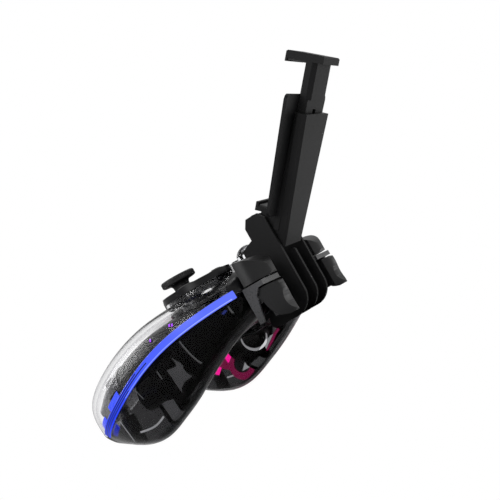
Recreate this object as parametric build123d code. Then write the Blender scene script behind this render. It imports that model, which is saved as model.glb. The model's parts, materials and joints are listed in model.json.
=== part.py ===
from build123d import *
import math
import os

# A wireless gamepad with a clear smoked housing and a folding phone bracket.
# Everything is drawn in the face frame, in millimetres: X to the user's right, Y away from the
# user, Z out of the face, which is near Z = 0. place_on_table() then tips the whole thing on to
# its grip ends and the belly of its bracket, the way it lies on a table.

# Housing: stations from the middle to the tip of the right grip. The left half mirrors them.
# Each station is a flat section between an inner (rear) and an outer (front) point.
# (inner point, outer point, rise of the face, drop of the belly, lean in degrees, squareness
# of the face, squareness of the belly)
STATIONS = [
    ((0, -73.5, -12.5), (0, -13, -9), 15.2, 18.5, 0, 2.6, 2.8),
    ((16, -73.5, -13), (26, -12.5, -9.5), 14.0, 19, 0, 2.6, 2.8),
    ((27.5, -75.5, -15), (51, -13.5, -10.5), 12.2, 20, 2, 2.5, 2.6),
    ((33.5, -80.5, -18), (67, -26, -12.5), 13.0, 24, 6, 2.4, 2.3),
    ((36, -86, -21.5), (74, -46, -15.5), 15.0, 28.5, 11, 2.2, 2.1),
    ((38.5, -91, -26), (75.5, -67, -21), 16.3, 29, 17, 2.1, 2.05),
    ((41, -98, -31), (72.5, -87, -28.5), 16.5, 27.5, 23, 2.0, 2.0),
    ((44, -105.5, -36.5), (66, -103, -36.5), 14.5, 21, 30, 2.0, 2.0),
    ((47, -110.5, -41), (59, -110.2, -41), 9.0, 12, 36, 2.0, 2.0),
    ((49.8, -113, -42.6), (56.2, -112.9, -42.6), 4.6, 6.2, 38, 2.0, 2.0),
]
WALL = 2.2
LINER_GAP = 2.8
LINER_WALL = 1.4
LINER_INSET = WALL + LINER_GAP
LINER_REACH = 7
LINER_CORNERS = 8
INSIDE_CORNERS = 12
DECK_WINDOW_HALF_WIDE = 63.0
DECK_WINDOW_HALF_NEAR = 35.0
DECK_WINDOW_FRONT = 10.0
DECK_WINDOW_STEP = -52.0
DECK_WINDOW_REAR = -71.0

# Parting line between the front and the back half, seen from the side: (Y, Z)
PARTING = [(-9.6, -11.6), (-31.6, -13.4), (-51.8, -16.5), (-69.6, -21.8), (-85.2, -28.2), (-99.3, -34.6)]
PARTING_FRONT = (12, -10.4)
PARTING_REAR = (-130, -49.5)

# Light guides let into the outer side of each grip, along the parting line
STRIP_HEIGHT = 4.0
STRIP_DEPTH = 2.8
STRIP_INSIDE_X = 57.5
STRIP_FRONT_Y = -14.0

# Sticks: right one low, left one high
# (X, Y, radius of the collar, top of the collar, foot of the collar)
STICK_RIGHT = (20.0, -56.0, 12.6, 3.0, -5.1)
STICK_LEFT = (-46.0, -29.5, 11.5, 2.2, -5.1)
GIMBAL_Z = -7.0
CAP_R = 9.2
CAP_TOP_Z = 12.0
CAP_THICK = 3.4
CAP_DISH = 1.0
NECK_R = 4.3
DOME_R = 9.5
DOME_WALL = 1.2
DOME_ANGLE = 51.0
SHAFT_R = 1.5
SHAFT_BELOW = 1.8
HUB_R = 2.7
HUB_HEIGHT = 4.4
RING_HALF = 5.0
RING_INNER_HALF = 3.7
RING_HEIGHT = 2.2
TRUNNION_R = 0.9
MODULE_SIDE = 15.6
MODULE_WALL = 1.2
MODULE_TOP_ABOVE = 1.7
COLLAR_INNER_R = 10.1
CLOSE_GAP = 0.05

# Face buttons: four round ones on a cross
CLUSTER = (44.7, -36.8)
CLUSTER_PITCH = 11.4
BUTTON_R = 5.1
BUTTON_TOP_Z = 3.3
BUTTON_FLANGE = 0.9
BUTTON_FLANGE_THICK = 1.3
BUTTON_BASE_Z = -7.6
BUTTON_TRAVEL = 1.2
RIM_R = 18.0
RIM_WALL = 1.6
RIM_TOP_Z = 2.4
RIM_BASE_Z = -8.0

# Directional pad
DPAD = (-20.0, -56.0)
DPAD_SPAN = 21.0
DPAD_ARM = 7.2
DPAD_TOP_Z = 3.4
DISH_R = 11.9
DISH_THICK = 1.5
DISH_TOP_Z = 0.6
DPAD_HOLE_R = 12.8
DPAD_RIM_WALL = 1.3
DPAD_RIM_TOP_Z = 1.2
DPAD_RIM_FOOT_Z = -7.5
DPAD_PIVOT_Z = -5.4
DPAD_BLOCK = 3.6

# Small buttons on the middle of the face
MENU_X = 14.0
MENU_Y = -38.0
SHARE_Y = -49.0
SMALL_LENGTH = 7.0
SMALL_WIDTH = 3.6
SMALL_TOP_Z = 5.6
SMALL_TRAVEL = 0.8
SMALL_FLANGE = 0.9
SMALL_FLANGE_TOP_Z = 0.7
HOME_Y = -24.5
HOME_R = 6.0
HOME_TOP_Z = 9.2
HOME_DOME_RISE = 3.6
HOME_FLANGE_TOP_Z = -3.65
FIT_GAP = 0.3

# Circuit board and what it carries
BOARD_TOP_Z = -13.0
BOARD_THICK = 1.6
BOARD_INSET = LINER_INSET + LINER_WALL + 0.5
BOARD_HALF_X = 58.0
BOARD_FRONT_Y = -22.5
BOARD_REAR_Y = -66.0
PAD_SHEET = 1.0
PAD_MARGIN = 1.4
PAD_DOME_R = 4.0
SWITCH_SIDE = 4.4
SWITCH_HEIGHT = 1.8
PORT_WIDTH = 9.0
PORT_HEIGHT = 3.3
PORT_DEPTH = 7.6
PORT_SHELL = 0.5
PORT_MOUTH_Y = -74.6
BATTERY = (40.0, 25.6, 5.2)
BATTERY_Y = -46.8
BATTERY_TOP_Z = -15.2

# Rumble motors in the grips
MOTOR = (55.0, -75.5, -33.0)
MOTOR_R = 7.4
MOTOR_LENGTH = 17.0
MOTOR_SHAFT_R = 1.2
WEIGHT_R = 6.6
WEIGHT_THICK = 5.0
WEIGHT_GAP = 1.0
CRADLE_LENGTH = 4.0

# Shoulder pockets with a bumper above a trigger
POCKET_INNER_X = 30.0
POCKET_OUTER_X = 53.5
POCKET_BACK_Y = -14.6
POCKET_TOP_Z = 6.0
POCKET_FLOOR_Z = -60.0
FRAME_WALL = 1.6
FRAME_BAR_TOP_Z = -12.2
FRAME_BAR_THICK = 2.4
FRAME_FRONT_Y = -3.6
FRAME_LEG_FOOT_Z = -30.0
FRAME_LEG_FRONT_Y = -9.3
BUMPER_GAP = 0.6
BUMPER_BACK_GAP = 1.5
BUMPER_FRONT_Y = -1.0
BUMPER_BASE_Z = -11.5
BUMPER_PIN_R = 1.2
TRIGGER_GAP = 0.6
TRIGGER_PIN_R = 1.5
TRIGGER_PIN_Y = -11.0
TRIGGER_PIN_Z = -18.8
TRIGGER_BARREL_R = 3.0
TRIGGER_TIP_Z = -32.2
RUN_GAP = 0.06

# Phone bracket: a saddle that clips over the front edge, with three ribs
RIB_OUTER_X = 17.4
RIB_THICK = 2.2
RIB_FRONT_Y = -0.5
RIB_BACK_Y = -12.4
RIB_TOP_R = 5.2
RIB_FOOT_R = 10.5
RIB_FOOT_Z = -35.2
RIB_TAIL_Y = -25.0
MID_RIB_TOP_Z = -4.2
SADDLE_GAP = 0.3
SADDLE_WALL = 2.4
SADDLE_TOP_Y = -19.5
SADDLE_TAIL_Y = -27.0
FINGER_TOP_Z = 8.0
PIVOT_Y = -6.6
PIVOT_Z = 13.2
HINGE_PIN_R = 2.0
HINGE_PIN_BLIND = 1.0

# Phone holder, drawn with its own Z along the bar and its own Y away from the phone,
# measured from the hinge pin
HOLDER_LEAN = 42.4
SEAT_Y = 5.9
RUBBER = 0.8
PLATE_THICK = 1.6
PLATE_FOOT_HALF = 25.0
PLATE_TOP_HALF = 31.0
LOWER_JAW_Z = 9.8
JAW_THICK = 3.0
JAW_HALF = 13.0
JAW_REACH = 9.4
JAW_LIP = 1.4
PLATE_TOP_Z = 66.4
NECK_HALF = 14.6
BAR_TOP_Z = 58.0
BAR_FOOT_Z = -7.4
BAR_FOOT_HALF = 13.2
BAR_TOP_HALF = 18.9
BAR_BACK_Y = 15.2
BAR_WALL = 1.3
BAR_SIDE_DEPTH = 4.4
SLOT_HALF = 12.0
SLOT_FOOT_Z = 6.0
SLIDE_GAP = 0.15
SLIDER_HEAD_FOOT_Z = 64.4
SLIDER_FOOT_Z = 33.0
STEM_THICK = 3.0
OPENING = 71.6
UPPER_JAW_THICK = 4.6
UPPER_JAW_BACK_Y = 17.0
KNUCKLE_R = 5.6
KNUCKLE_GAP = 0.25
SPRING_R = 1.9
SPRING_FOOT_Z = 8.0
SPRING_TOP_Z = 44.0
SPRING_SLOT_TOP_Z = 60.0

SCREW_HEAD_R = 2.3
SCREW_HEAD_HEIGHT = 1.6
SCREW_SHANK_R = 1.1
SCREW_SHANK = 9.0
# (X, Y, height where the two posts meet, height of the screw head's seat)
SCREWS = [(54.0, -99.0, -37.0, -42.0)]
BOSS_R = 3.6
POST_R = 2.9


def rod(radius, length, axis="Z"):
    """A cylinder that starts at the origin and runs along one axis."""
    turn = {"X": Rotation(0, 90, 0), "Y": Rotation(-90, 0, 0), "Z": Rotation(0, 0, 0)}[axis]
    return turn * Cylinder(radius, length, align=(Align.CENTER, Align.CENTER, Align.MIN))


def block(x, y, z):
    """A box from three (low, high) pairs."""
    size = [high - low for low, high in (x, y, z)]
    low = [pair[0] for pair in (x, y, z)]
    return Pos(*low) * Box(*size, align=(Align.MIN, Align.MIN, Align.MIN))


def turned(profile):
    """A body turned about Z from its (radius, height) outline, closed along the axis."""
    outline = Wire.make_polygon([(radius, 0, height) for radius, height in profile])
    return revolve(Face(outline), Axis.Z)


def mirrored(shape):
    """The same shape on the user's left."""
    return mirror(shape, about=Plane.YZ)


def side_profile(points, low_x, high_x):
    """A face drawn as (Y, Z) points, extruded from one X to another."""
    outline = Face(Wire.make_polygon([(low_x, y, z) for y, z in points]))
    return extrude(outline, high_x - low_x, dir=(1, 0, 0))


def half_outline(half_width, height, squareness):
    """Control points of one half of a section: a quintic arch from +half_width to -half_width."""
    shoulder = height * (0.55 + 0.18 * (squareness - 2))
    spread = half_width * (0.60 + 0.12 * (squareness - 2))
    lift = height / ((10 * shoulder + 20 * height) / 32)
    side = [(half_width, 0), (half_width, shoulder * lift), (spread, height * lift)]
    return side + [(-x, z) for x, z in reversed(side)]


def station_wire(station, inset, hand, corners=0):
    """One section of the housing, inset by a wall, on the right (1) or the left (-1).
    With corners, each half of it is a run of that many straight sides."""
    inner, outer, rise, drop, lean, face_square, belly_square = station
    inner = Vector(*inner)
    outer = Vector(*outer)
    centre = (inner + outer) * 0.5
    across = (outer - inner).normalized()
    half_width = (outer - inner).length / 2 - inset
    along = Vector(-across.Y, across.X, 0).normalized()
    if along.Y > 0:
        along = along * -1
    upright = (Vector(0, 0, 1) - across * across.Z).normalized()
    tilt = math.radians(lean)
    up = upright * math.cos(tilt) + along * math.sin(tilt)

    def point(side, height):
        spot = centre + across * side + up * height
        return Vector(hand * spot.X, spot.Y, spot.Z)

    face = Edge.make_bezier(*[point(a, b) for a, b in half_outline(half_width, rise - inset, face_square)])
    belly = Edge.make_bezier(*[point(-a, -b) for a, b in half_outline(half_width, drop - inset, belly_square)])
    if corners:
        run = [arch @ (k / corners) for arch in (face, belly) for k in range(corners)]
        return Wire.make_polygon(run, close=True)
    return Wire([face, belly])


def pad_body(inset, reach=len(STATIONS), corners=0):
    """The whole outer form of the gamepad, inset by a wall: grip, middle and grip in one loft.
    reach is how many stations it runs to. With corners, it is a plain form with flat sides."""
    room = 2.0
    kept = [s for s in STATIONS[:reach]
            if (Vector(*s[1]) - Vector(*s[0])).length / 2 > inset + room and s[2] > inset + room]
    left = [station_wire(s, inset, -1, corners) for s in kept[:0:-1]]
    right = [station_wire(s, inset, 1, corners) for s in kept]
    return Solid.make_loft(left + right, ruled=corners > 0)


def above_parting(shift):
    """The space above the parting line, moved up by shift."""
    reach = 100
    line = [PARTING_FRONT] + PARTING + [PARTING_REAR]
    points = [(y, z + shift) for y, z in line]
    return side_profile(points + [(PARTING_REAR[0], reach), (PARTING_FRONT[0], reach)], -reach, reach)


def strip_zone():
    """The band of space that the two light guides fill."""
    reach = 100
    line = [PARTING_FRONT] + PARTING + [PARTING_REAR]
    band = [(y, z + STRIP_HEIGHT / 2) for y, z in line]
    band += [(y, z - STRIP_HEIGHT / 2) for y, z in reversed(line)]
    zone = side_profile(band, STRIP_INSIDE_X, reach)
    return zone & block((0, reach), (-reach * 2, STRIP_FRONT_Y), (-reach, reach))


def pocket():
    """The space cut out of the right shoulder for its bumper and trigger."""
    return block((POCKET_INNER_X, POCKET_OUTER_X), (POCKET_BACK_Y, 20), (POCKET_FLOOR_Z, POCKET_TOP_Z))


def cluster_spots():
    """Where the four face buttons stand: a low, b right, x left, y high."""
    x, y = CLUSTER
    step = CLUSTER_PITCH
    return {"a": (x, y - step), "b": (x + step, y), "x": (x - step, y), "y": (x, y + step)}


def small_spots():
    """Where the three small oval buttons stand."""
    return {"view": (-MENU_X, MENU_Y), "menu": (MENU_X, MENU_Y), "share": (0, SHARE_Y)}


def oval(length, width, height):
    """An upright slot-shaped post on Z = 0."""
    return extrude(SlotOverall(length, width), height)


def face_holes(extra):
    """Every hole through the face, each wider than its button by extra."""
    depth = 30
    low = -15
    holes = []
    for x, y, collar_r, *_ in (STICK_RIGHT, STICK_LEFT):
        holes.append(Pos(x, y, low) * rod(collar_r + CLOSE_GAP + extra, depth))
    holes.append(Pos(*DPAD, low) * rod(DPAD_HOLE_R + extra, depth))
    for x, y in cluster_spots().values():
        holes.append(Pos(x, y, low) * rod(BUTTON_R + FIT_GAP + extra, depth))
    for x, y in small_spots().values():
        grow = 2 * (FIT_GAP + extra)
        holes.append(Pos(x, y, low) * oval(SMALL_LENGTH + grow, SMALL_WIDTH + grow, depth))
    holes.append(Pos(0, HOME_Y, low) * rod(HOME_R + FIT_GAP + extra, depth))
    return holes


def cut_all(shape, tools):
    """Subtract a list of shapes one after the other."""
    for tool in tools:
        shape = shape - tool
    return shape


def make_housing(nodes):
    """Front and back clear shells, the light guides and the dark liner inside."""
    outer = pad_body(0)
    inner = pad_body(WALL, corners=INSIDE_CORNERS)
    skin = outer - inner
    pockets = [pocket(), mirrored(pocket())]
    strips = [strip_zone(), mirrored(strip_zone())]
    above = above_parting(0)

    rim = rod(RIM_R, RIM_TOP_Z - RIM_BASE_Z) - rod(RIM_R - RIM_WALL, RIM_TOP_Z - RIM_BASE_Z)
    rim = Pos(*CLUSTER, RIM_BASE_Z) * rim
    well = Pos(*DPAD, DPAD_RIM_FOOT_Z) * rod(DPAD_HOLE_R + DPAD_RIM_WALL, DPAD_RIM_TOP_Z - DPAD_RIM_FOOT_Z)
    holes = face_holes(0)
    front = cut_all(skin & above, holes) + cut_all(rim - inner, holes) + cut_all(well - inner, holes)
    front = cut_all(front, pockets + strips)
    front = front - port_block(FIT_GAP)
    nodes["front_shell"] = front

    back = cut_all(skin - above, pockets + strips)
    nodes["back_shell"] = back

    ring = outer - pad_body(STRIP_DEPTH, corners=INSIDE_CORNERS)
    nodes["light_guide_right"] = ring & strips[0]
    nodes["light_guide_left"] = ring & strips[1]

    liner = pad_body(LINER_INSET, LINER_REACH, LINER_CORNERS)
    liner = liner - pad_body(LINER_INSET + LINER_WALL, LINER_REACH, LINER_CORNERS)
    deep = [grown_pocket(hand) for hand in (1, -1)]
    for x, y, *_ in SCREWS:
        deep += [Pos(hand * x, y, -60) * rod(BOSS_R + FIT_GAP, 80) for hand in (1, -1)]
    half = MODULE_SIDE / 2 + FIT_GAP
    for x, y, *_ in (STICK_RIGHT, STICK_LEFT):
        deep.append(block((x - half, x + half), (y - half, y + half), (BOARD_TOP_Z - FIT_GAP, GIMBAL_Z)))
    wide = DECK_WINDOW_HALF_WIDE
    near = DECK_WINDOW_HALF_NEAR
    window = Polygon((-wide, DECK_WINDOW_FRONT), (-wide, DECK_WINDOW_STEP), (-near, DECK_WINDOW_REAR),
                     (near, DECK_WINDOW_REAR), (wide, DECK_WINDOW_STEP), (wide, DECK_WINDOW_FRONT), align=None)
    window = Pos(0, 0, BOARD_TOP_Z - FIT_GAP) * extrude(window, 30)
    nodes["inner_deck"] = cut_all(liner & above_parting(0.2), deep + [window])
    tray = cut_all(liner - above_parting(-0.2), deep)
    nodes["inner_tray"] = tray


def grown_pocket(hand):
    """The pocket and the thickness of the bulkhead behind it."""
    space = block((POCKET_INNER_X - FRAME_WALL, POCKET_OUTER_X + FRAME_WALL),
                  (POCKET_BACK_Y - FRAME_WALL - FIT_GAP, 20), (POCKET_FLOOR_Z, POCKET_TOP_Z))
    return space if hand > 0 else mirrored(space)


def port_block(extra):
    """The charging port's outside, in the middle of the rear edge, grown by extra."""
    shape = extrude(RectangleRounded(PORT_WIDTH + 2 * extra, PORT_HEIGHT + 2 * extra,
                                     PORT_HEIGHT / 2 + extra - 0.05), PORT_DEPTH + 2 * extra)
    place = Pos(0, PORT_MOUTH_Y - extra, BOARD_TOP_Z + PORT_HEIGHT / 2) * Rotation(-90, 0, 0)
    return place * shape


def make_board(nodes):
    """Circuit board, charging port, switches, button pads and battery."""
    board = pad_body(BOARD_INSET, corners=LINER_CORNERS) & block((-BOARD_HALF_X, BOARD_HALF_X), (BOARD_REAR_Y, BOARD_FRONT_Y),
                                          (BOARD_TOP_Z - BOARD_THICK, BOARD_TOP_Z))
    nodes["main_board"] = board
    mouth = extrude(RectangleRounded(PORT_WIDTH - 2 * PORT_SHELL, PORT_HEIGHT - 2 * PORT_SHELL,
                                     PORT_HEIGHT / 2 - PORT_SHELL - 0.05), PORT_DEPTH - 1)
    mouth = Pos(0, PORT_MOUTH_Y, BOARD_TOP_Z + PORT_HEIGHT / 2) * Rotation(-90, 0, 0) * mouth
    nodes["charge_port"] = port_block(0) - mouth

    half = SWITCH_SIDE / 2
    switches = []
    for x, y in list(small_spots().values()) + [(0, HOME_Y)]:
        switches.append(block((x - half, x + half), (y - half, y + half), (BOARD_TOP_Z, BOARD_TOP_Z + SWITCH_HEIGHT)))
    nodes["tact_switches"] = Compound(children=switches)

    top = BUTTON_BASE_Z - BUTTON_TRAVEL - 0.2
    reach = CLUSTER_PITCH + PAD_DOME_R
    sheet = Pos(*CLUSTER, BOARD_TOP_Z) * Rotation(0, 0, 45) * Box(
        1.62 * reach, 1.62 * reach, PAD_SHEET, align=(Align.CENTER, Align.CENTER, Align.MIN))
    sheet = sheet & Pos(*CLUSTER, BOARD_TOP_Z) * Box(2 * reach + PAD_MARGIN, 2 * reach + PAD_MARGIN, 10)
    for x, y in cluster_spots().values():
        sheet = sheet + Pos(x, y, BOARD_TOP_Z) * rod(PAD_DOME_R, top - BOARD_TOP_Z)
    nodes["button_pad"] = sheet

    width, depth, height = BATTERY
    cell = Box(width, depth, height, align=(Align.CENTER, Align.CENTER, Align.MIN))
    cell = chamfer(cell.edges().filter_by(Axis.Y), 1.2)
    nodes["battery"] = Pos(0, BATTERY_Y, BATTERY_TOP_Z - height) * cell


def make_buttons(nodes):
    """Face buttons, small buttons and the home button, all pressed along the face's normal."""
    tall = BUTTON_TOP_Z - BUTTON_BASE_Z
    button = turned([(0, 0), (BUTTON_R + BUTTON_FLANGE, 0), (BUTTON_R + BUTTON_FLANGE, BUTTON_FLANGE_THICK),
                     (BUTTON_R, BUTTON_FLANGE_THICK), (BUTTON_R, tall - 1.1), (BUTTON_R - 1.1, tall - 0.1), (0, tall)])
    for name, (x, y) in cluster_spots().items():
        nodes[f"button_{name}"] = Pos(x, y, BUTTON_BASE_Z) * button
    foot = BOARD_TOP_Z + SWITCH_HEIGHT + SMALL_TRAVEL + 0.1
    for name, (x, y) in small_spots().items():
        post = oval(SMALL_LENGTH, SMALL_WIDTH, SMALL_TOP_Z - foot)
        long, wide = SMALL_LENGTH + 2 * SMALL_FLANGE, SMALL_WIDTH + 2 * SMALL_FLANGE
        flange = Box(long, wide, BUTTON_FLANGE_THICK, align=(Align.CENTER, Align.CENTER, Align.MAX))
        nodes[f"button_{name}"] = Pos(x, y, foot) * (post + Pos(0, 0, SMALL_FLANGE_TOP_Z - foot) * flange)
    ball_r = (HOME_R ** 2 + HOME_DOME_RISE ** 2) / (2 * HOME_DOME_RISE)
    post = rod(HOME_R, HOME_TOP_Z - foot)
    ball = Pos(0, 0, HOME_TOP_Z - foot - ball_r) * Sphere(ball_r)
    lower = rod(HOME_R + 1, HOME_TOP_Z - foot - HOME_DOME_RISE)
    flange = rod(HOME_R + SMALL_FLANGE, BUTTON_FLANGE_THICK)
    flange = Pos(0, 0, HOME_FLANGE_TOP_Z - BUTTON_FLANGE_THICK - foot) * flange
    nodes["button_home"] = Pos(0, HOME_Y, foot) * ((post & (ball + lower)) + flange)


def make_dpad(nodes):
    """Cross on a dish, carried by a small universal joint on a post."""
    x, y = DPAD
    base = DISH_TOP_Z
    arm = Box(DPAD_SPAN, DPAD_ARM, DPAD_TOP_Z - base, align=(Align.CENTER, Align.CENTER, Align.MIN))
    cross = arm + Rotation(0, 0, 90) * arm
    cross = chamfer(cross.edges().group_by(Axis.Z)[-1], 0.5)
    nodes["dpad_cross"] = Pos(x, y, base) * cross

    ear_gap = DPAD_BLOCK / 2 + 0.3
    ear_wall = 1.4
    reach = DPAD_PIVOT_Z - 1.8
    dish = Pos(0, 0, base - DISH_THICK) * rod(DISH_R, DISH_THICK)
    for hand in (1, -1):
        low, high = sorted((hand * ear_gap, hand * (ear_gap + ear_wall)))
        ear = block((-1.8, 1.8), (low, high), (reach, base - DISH_THICK))
        dish = dish + ear
    notch = TRUNNION_R + RUN_GAP
    dish = dish - block((-notch, notch), (-8, 8), (reach - 1, DPAD_PIVOT_Z + notch))
    nodes["dpad_dish"] = Pos(x, y, 0) * dish

    half = DPAD_BLOCK / 2
    core = block((-half, half), (-half, half), (DPAD_PIVOT_Z - 1.5, DPAD_PIVOT_Z + 1.5))
    tip = ear_gap + ear_wall
    core = core + Pos(-tip, 0, DPAD_PIVOT_Z) * rod(TRUNNION_R, 2 * tip, "X")
    core = core + Pos(0, -tip, DPAD_PIVOT_Z) * rod(TRUNNION_R, 2 * tip, "Y")
    nodes["dpad_pivot"] = Pos(x, y, 0) * core

    post = block((-5, 5), (-1.6, 1.6), (BOARD_TOP_Z, BOARD_TOP_Z + 2.2))
    for hand in (1, -1):
        low, high = sorted((hand * ear_gap, hand * (ear_gap + ear_wall)))
        post = post + block((low, high), (-1.6, 1.6), (BOARD_TOP_Z, DPAD_PIVOT_Z + 1.6))
    post = post - block((-8, 8), (-notch, notch), (DPAD_PIVOT_Z - notch, DPAD_PIVOT_Z + 3))
    nodes["dpad_post"] = Pos(x, y, 0) * post


def stick_outline(shaft_foot):
    """Half outline of a thumbstick: shaft, hollow dome, neck and dished cap."""
    reach = math.radians(DOME_ANGLE)
    wall = DOME_R - DOME_WALL
    start = math.asin(SHAFT_R / wall)
    neck_turn = math.asin(NECK_R / DOME_R)

    def on_ball(radius, turn):
        return (radius * math.sin(turn), 0, GIMBAL_Z + radius * math.cos(turn))

    under = CAP_TOP_Z - CAP_THICK
    edge = 1.1
    points = [on_ball(DOME_R, neck_turn), (NECK_R, 0, under), (CAP_R - edge, 0, under), (CAP_R, 0, under + edge),
              (CAP_R, 0, CAP_TOP_Z - edge), (CAP_R - edge, 0, CAP_TOP_Z), (CAP_R - 2.0, 0, CAP_TOP_Z),
              (CAP_R - 3.2, 0, CAP_TOP_Z - CAP_DISH), (0, 0, CAP_TOP_Z - CAP_DISH), (0, 0, shaft_foot),
              (SHAFT_R, 0, shaft_foot), on_ball(wall, start)]
    edges = [Line(a, b).edge() for a, b in zip(points, points[1:])]
    edges.append(Edge.make_three_point_arc(on_ball(wall, start), on_ball(wall, (start + reach) / 2),
                                           on_ball(wall, reach)))
    edges.append(Line(on_ball(wall, reach), on_ball(DOME_R, reach)).edge())
    edges.append(Edge.make_three_point_arc(on_ball(DOME_R, reach), on_ball(DOME_R, (neck_turn + reach) / 2),
                                           on_ball(DOME_R, neck_turn)))
    return Wire(edges)


def make_stick(nodes, side, spot):
    """One stick module: base, gimbal ring, hub, collar and the stick itself."""
    x, y, collar_r, collar_top, collar_foot = spot
    here = Pos(x, y, 0)
    half = MODULE_SIDE / 2
    top = GIMBAL_Z + MODULE_TOP_ABOVE
    base = block((-half, half), (-half, half), (BOARD_TOP_Z, top))
    room = half - MODULE_WALL
    base = base - block((-room, room), (-room, room), (BOARD_TOP_Z + MODULE_WALL, top))
    notch = TRUNNION_R + RUN_GAP
    base = base - block((-half, half), (-notch, notch), (GIMBAL_Z - notch, top))
    nodes[f"stick_base_{side}"] = here * base

    frame = block((-RING_HALF, RING_HALF), (-RING_HALF, RING_HALF),
                  (GIMBAL_Z - RING_HEIGHT / 2, GIMBAL_Z + RING_HEIGHT / 2))
    frame = frame - block((-RING_INNER_HALF, RING_INNER_HALF), (-RING_INNER_HALF, RING_INNER_HALF),
                          (GIMBAL_Z - RING_HEIGHT, GIMBAL_Z + RING_HEIGHT))
    for hand in (1, -1):
        low, high = sorted((hand * (RING_HALF - 0.2), hand * (half - 0.1)))
        frame = frame + Pos(low, 0, GIMBAL_Z) * rod(TRUNNION_R, high - low, "X")
    notch = TRUNNION_R - 0.2 + RUN_GAP
    frame = frame - block((-notch, notch), (-half, half), (GIMBAL_Z - notch, GIMBAL_Z + RING_HEIGHT))
    nodes[f"stick_ring_{side}"] = here * frame

    hub = Pos(0, 0, GIMBAL_Z - HUB_HEIGHT / 2) * rod(HUB_R, HUB_HEIGHT)
    hub = hub + Pos(0, -RING_HALF, GIMBAL_Z) * rod(TRUNNION_R - 0.2, 2 * RING_HALF, "Y")
    hub = hub - Pos(0, 0, GIMBAL_Z - HUB_HEIGHT) * rod(SHAFT_R + RUN_GAP, 2 * HUB_HEIGHT)
    nodes[f"stick_hub_{side}"] = here * hub

    shaft_foot = GIMBAL_Z - HUB_HEIGHT / 2 - SHAFT_BELOW
    nodes[f"thumbstick_{side}"] = here * revolve(Face(stick_outline(shaft_foot)), Axis.Z)

    depth = collar_top - collar_foot
    edge = 0.6
    collar = turned([(COLLAR_INNER_R, 0), (collar_r, 0), (collar_r, depth - edge), (collar_r - edge, depth),
                     (COLLAR_INNER_R, depth)])
    nodes[f"stick_collar_{side}"] = here * Pos(0, 0, collar_foot) * collar


def make_motor(nodes, side, hand):
    """A rumble motor lying along Y in the grip, with its off-centre weight towards the middle."""
    x, y, z = MOTOR
    end = MOTOR_LENGTH / 2
    can = Pos(0, -end, 0) * rod(MOTOR_R, MOTOR_LENGTH, "Y")
    neck = Pos(0, end - 1.4, 0) * rod(3.0, 1.4 + WEIGHT_GAP * 0.6, "Y")
    shaft_bore = Pos(0, end - 6, 0) * rod(MOTOR_SHAFT_R + RUN_GAP, 8, "Y")
    nodes[f"rumble_motor_{side}"] = Pos(hand * x, y, z) * ((can + neck) - shaft_bore)
    near = end + WEIGHT_GAP
    disc = Pos(0, near, 0) * rod(WEIGHT_R, WEIGHT_THICK, "Y")
    lower = block((-WEIGHT_R, WEIGHT_R), (near, near + WEIGHT_THICK), (-WEIGHT_R, 1.6))
    shaft = Pos(0, end - 5.5, 0) * rod(MOTOR_SHAFT_R, 5.5 + WEIGHT_GAP + WEIGHT_THICK, "Y")
    boss = Pos(0, near, 0) * rod(2.6, WEIGHT_THICK, "Y")
    nodes[f"motor_weight_{side}"] = Pos(hand * x, y, z) * ((disc & lower) + boss + shaft)


def make_cradles(nodes):
    """Saddles on the tray that hold the motor cans, and posts that hold the board."""
    tray = nodes["inner_tray"]
    x, y, z = MOTOR
    inside = pad_body(LINER_INSET + LINER_WALL / 2, LINER_REACH, LINER_CORNERS)
    for hand in (1, -1):
        saddle = block((x - MOTOR_R, x + MOTOR_R), (y - CRADLE_LENGTH / 2, y + CRADLE_LENGTH / 2), (-60, z - 3))
        saddle = (saddle if hand > 0 else mirrored(saddle)) & inside
        tray = tray + (saddle - Pos(hand * x, y - 20, z) * rod(MOTOR_R + 0.02, 40, "Y"))
        for bx, by in ((36.0, -30.0), (24.5, -59.5)):
            post = block((bx - 2, bx + 2), (by - 2, by + 2), (-60, BOARD_TOP_Z - BOARD_THICK))
            tray = tray + ((post if hand > 0 else mirrored(post)) & inside)
    nodes["inner_tray"] = tray


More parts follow.
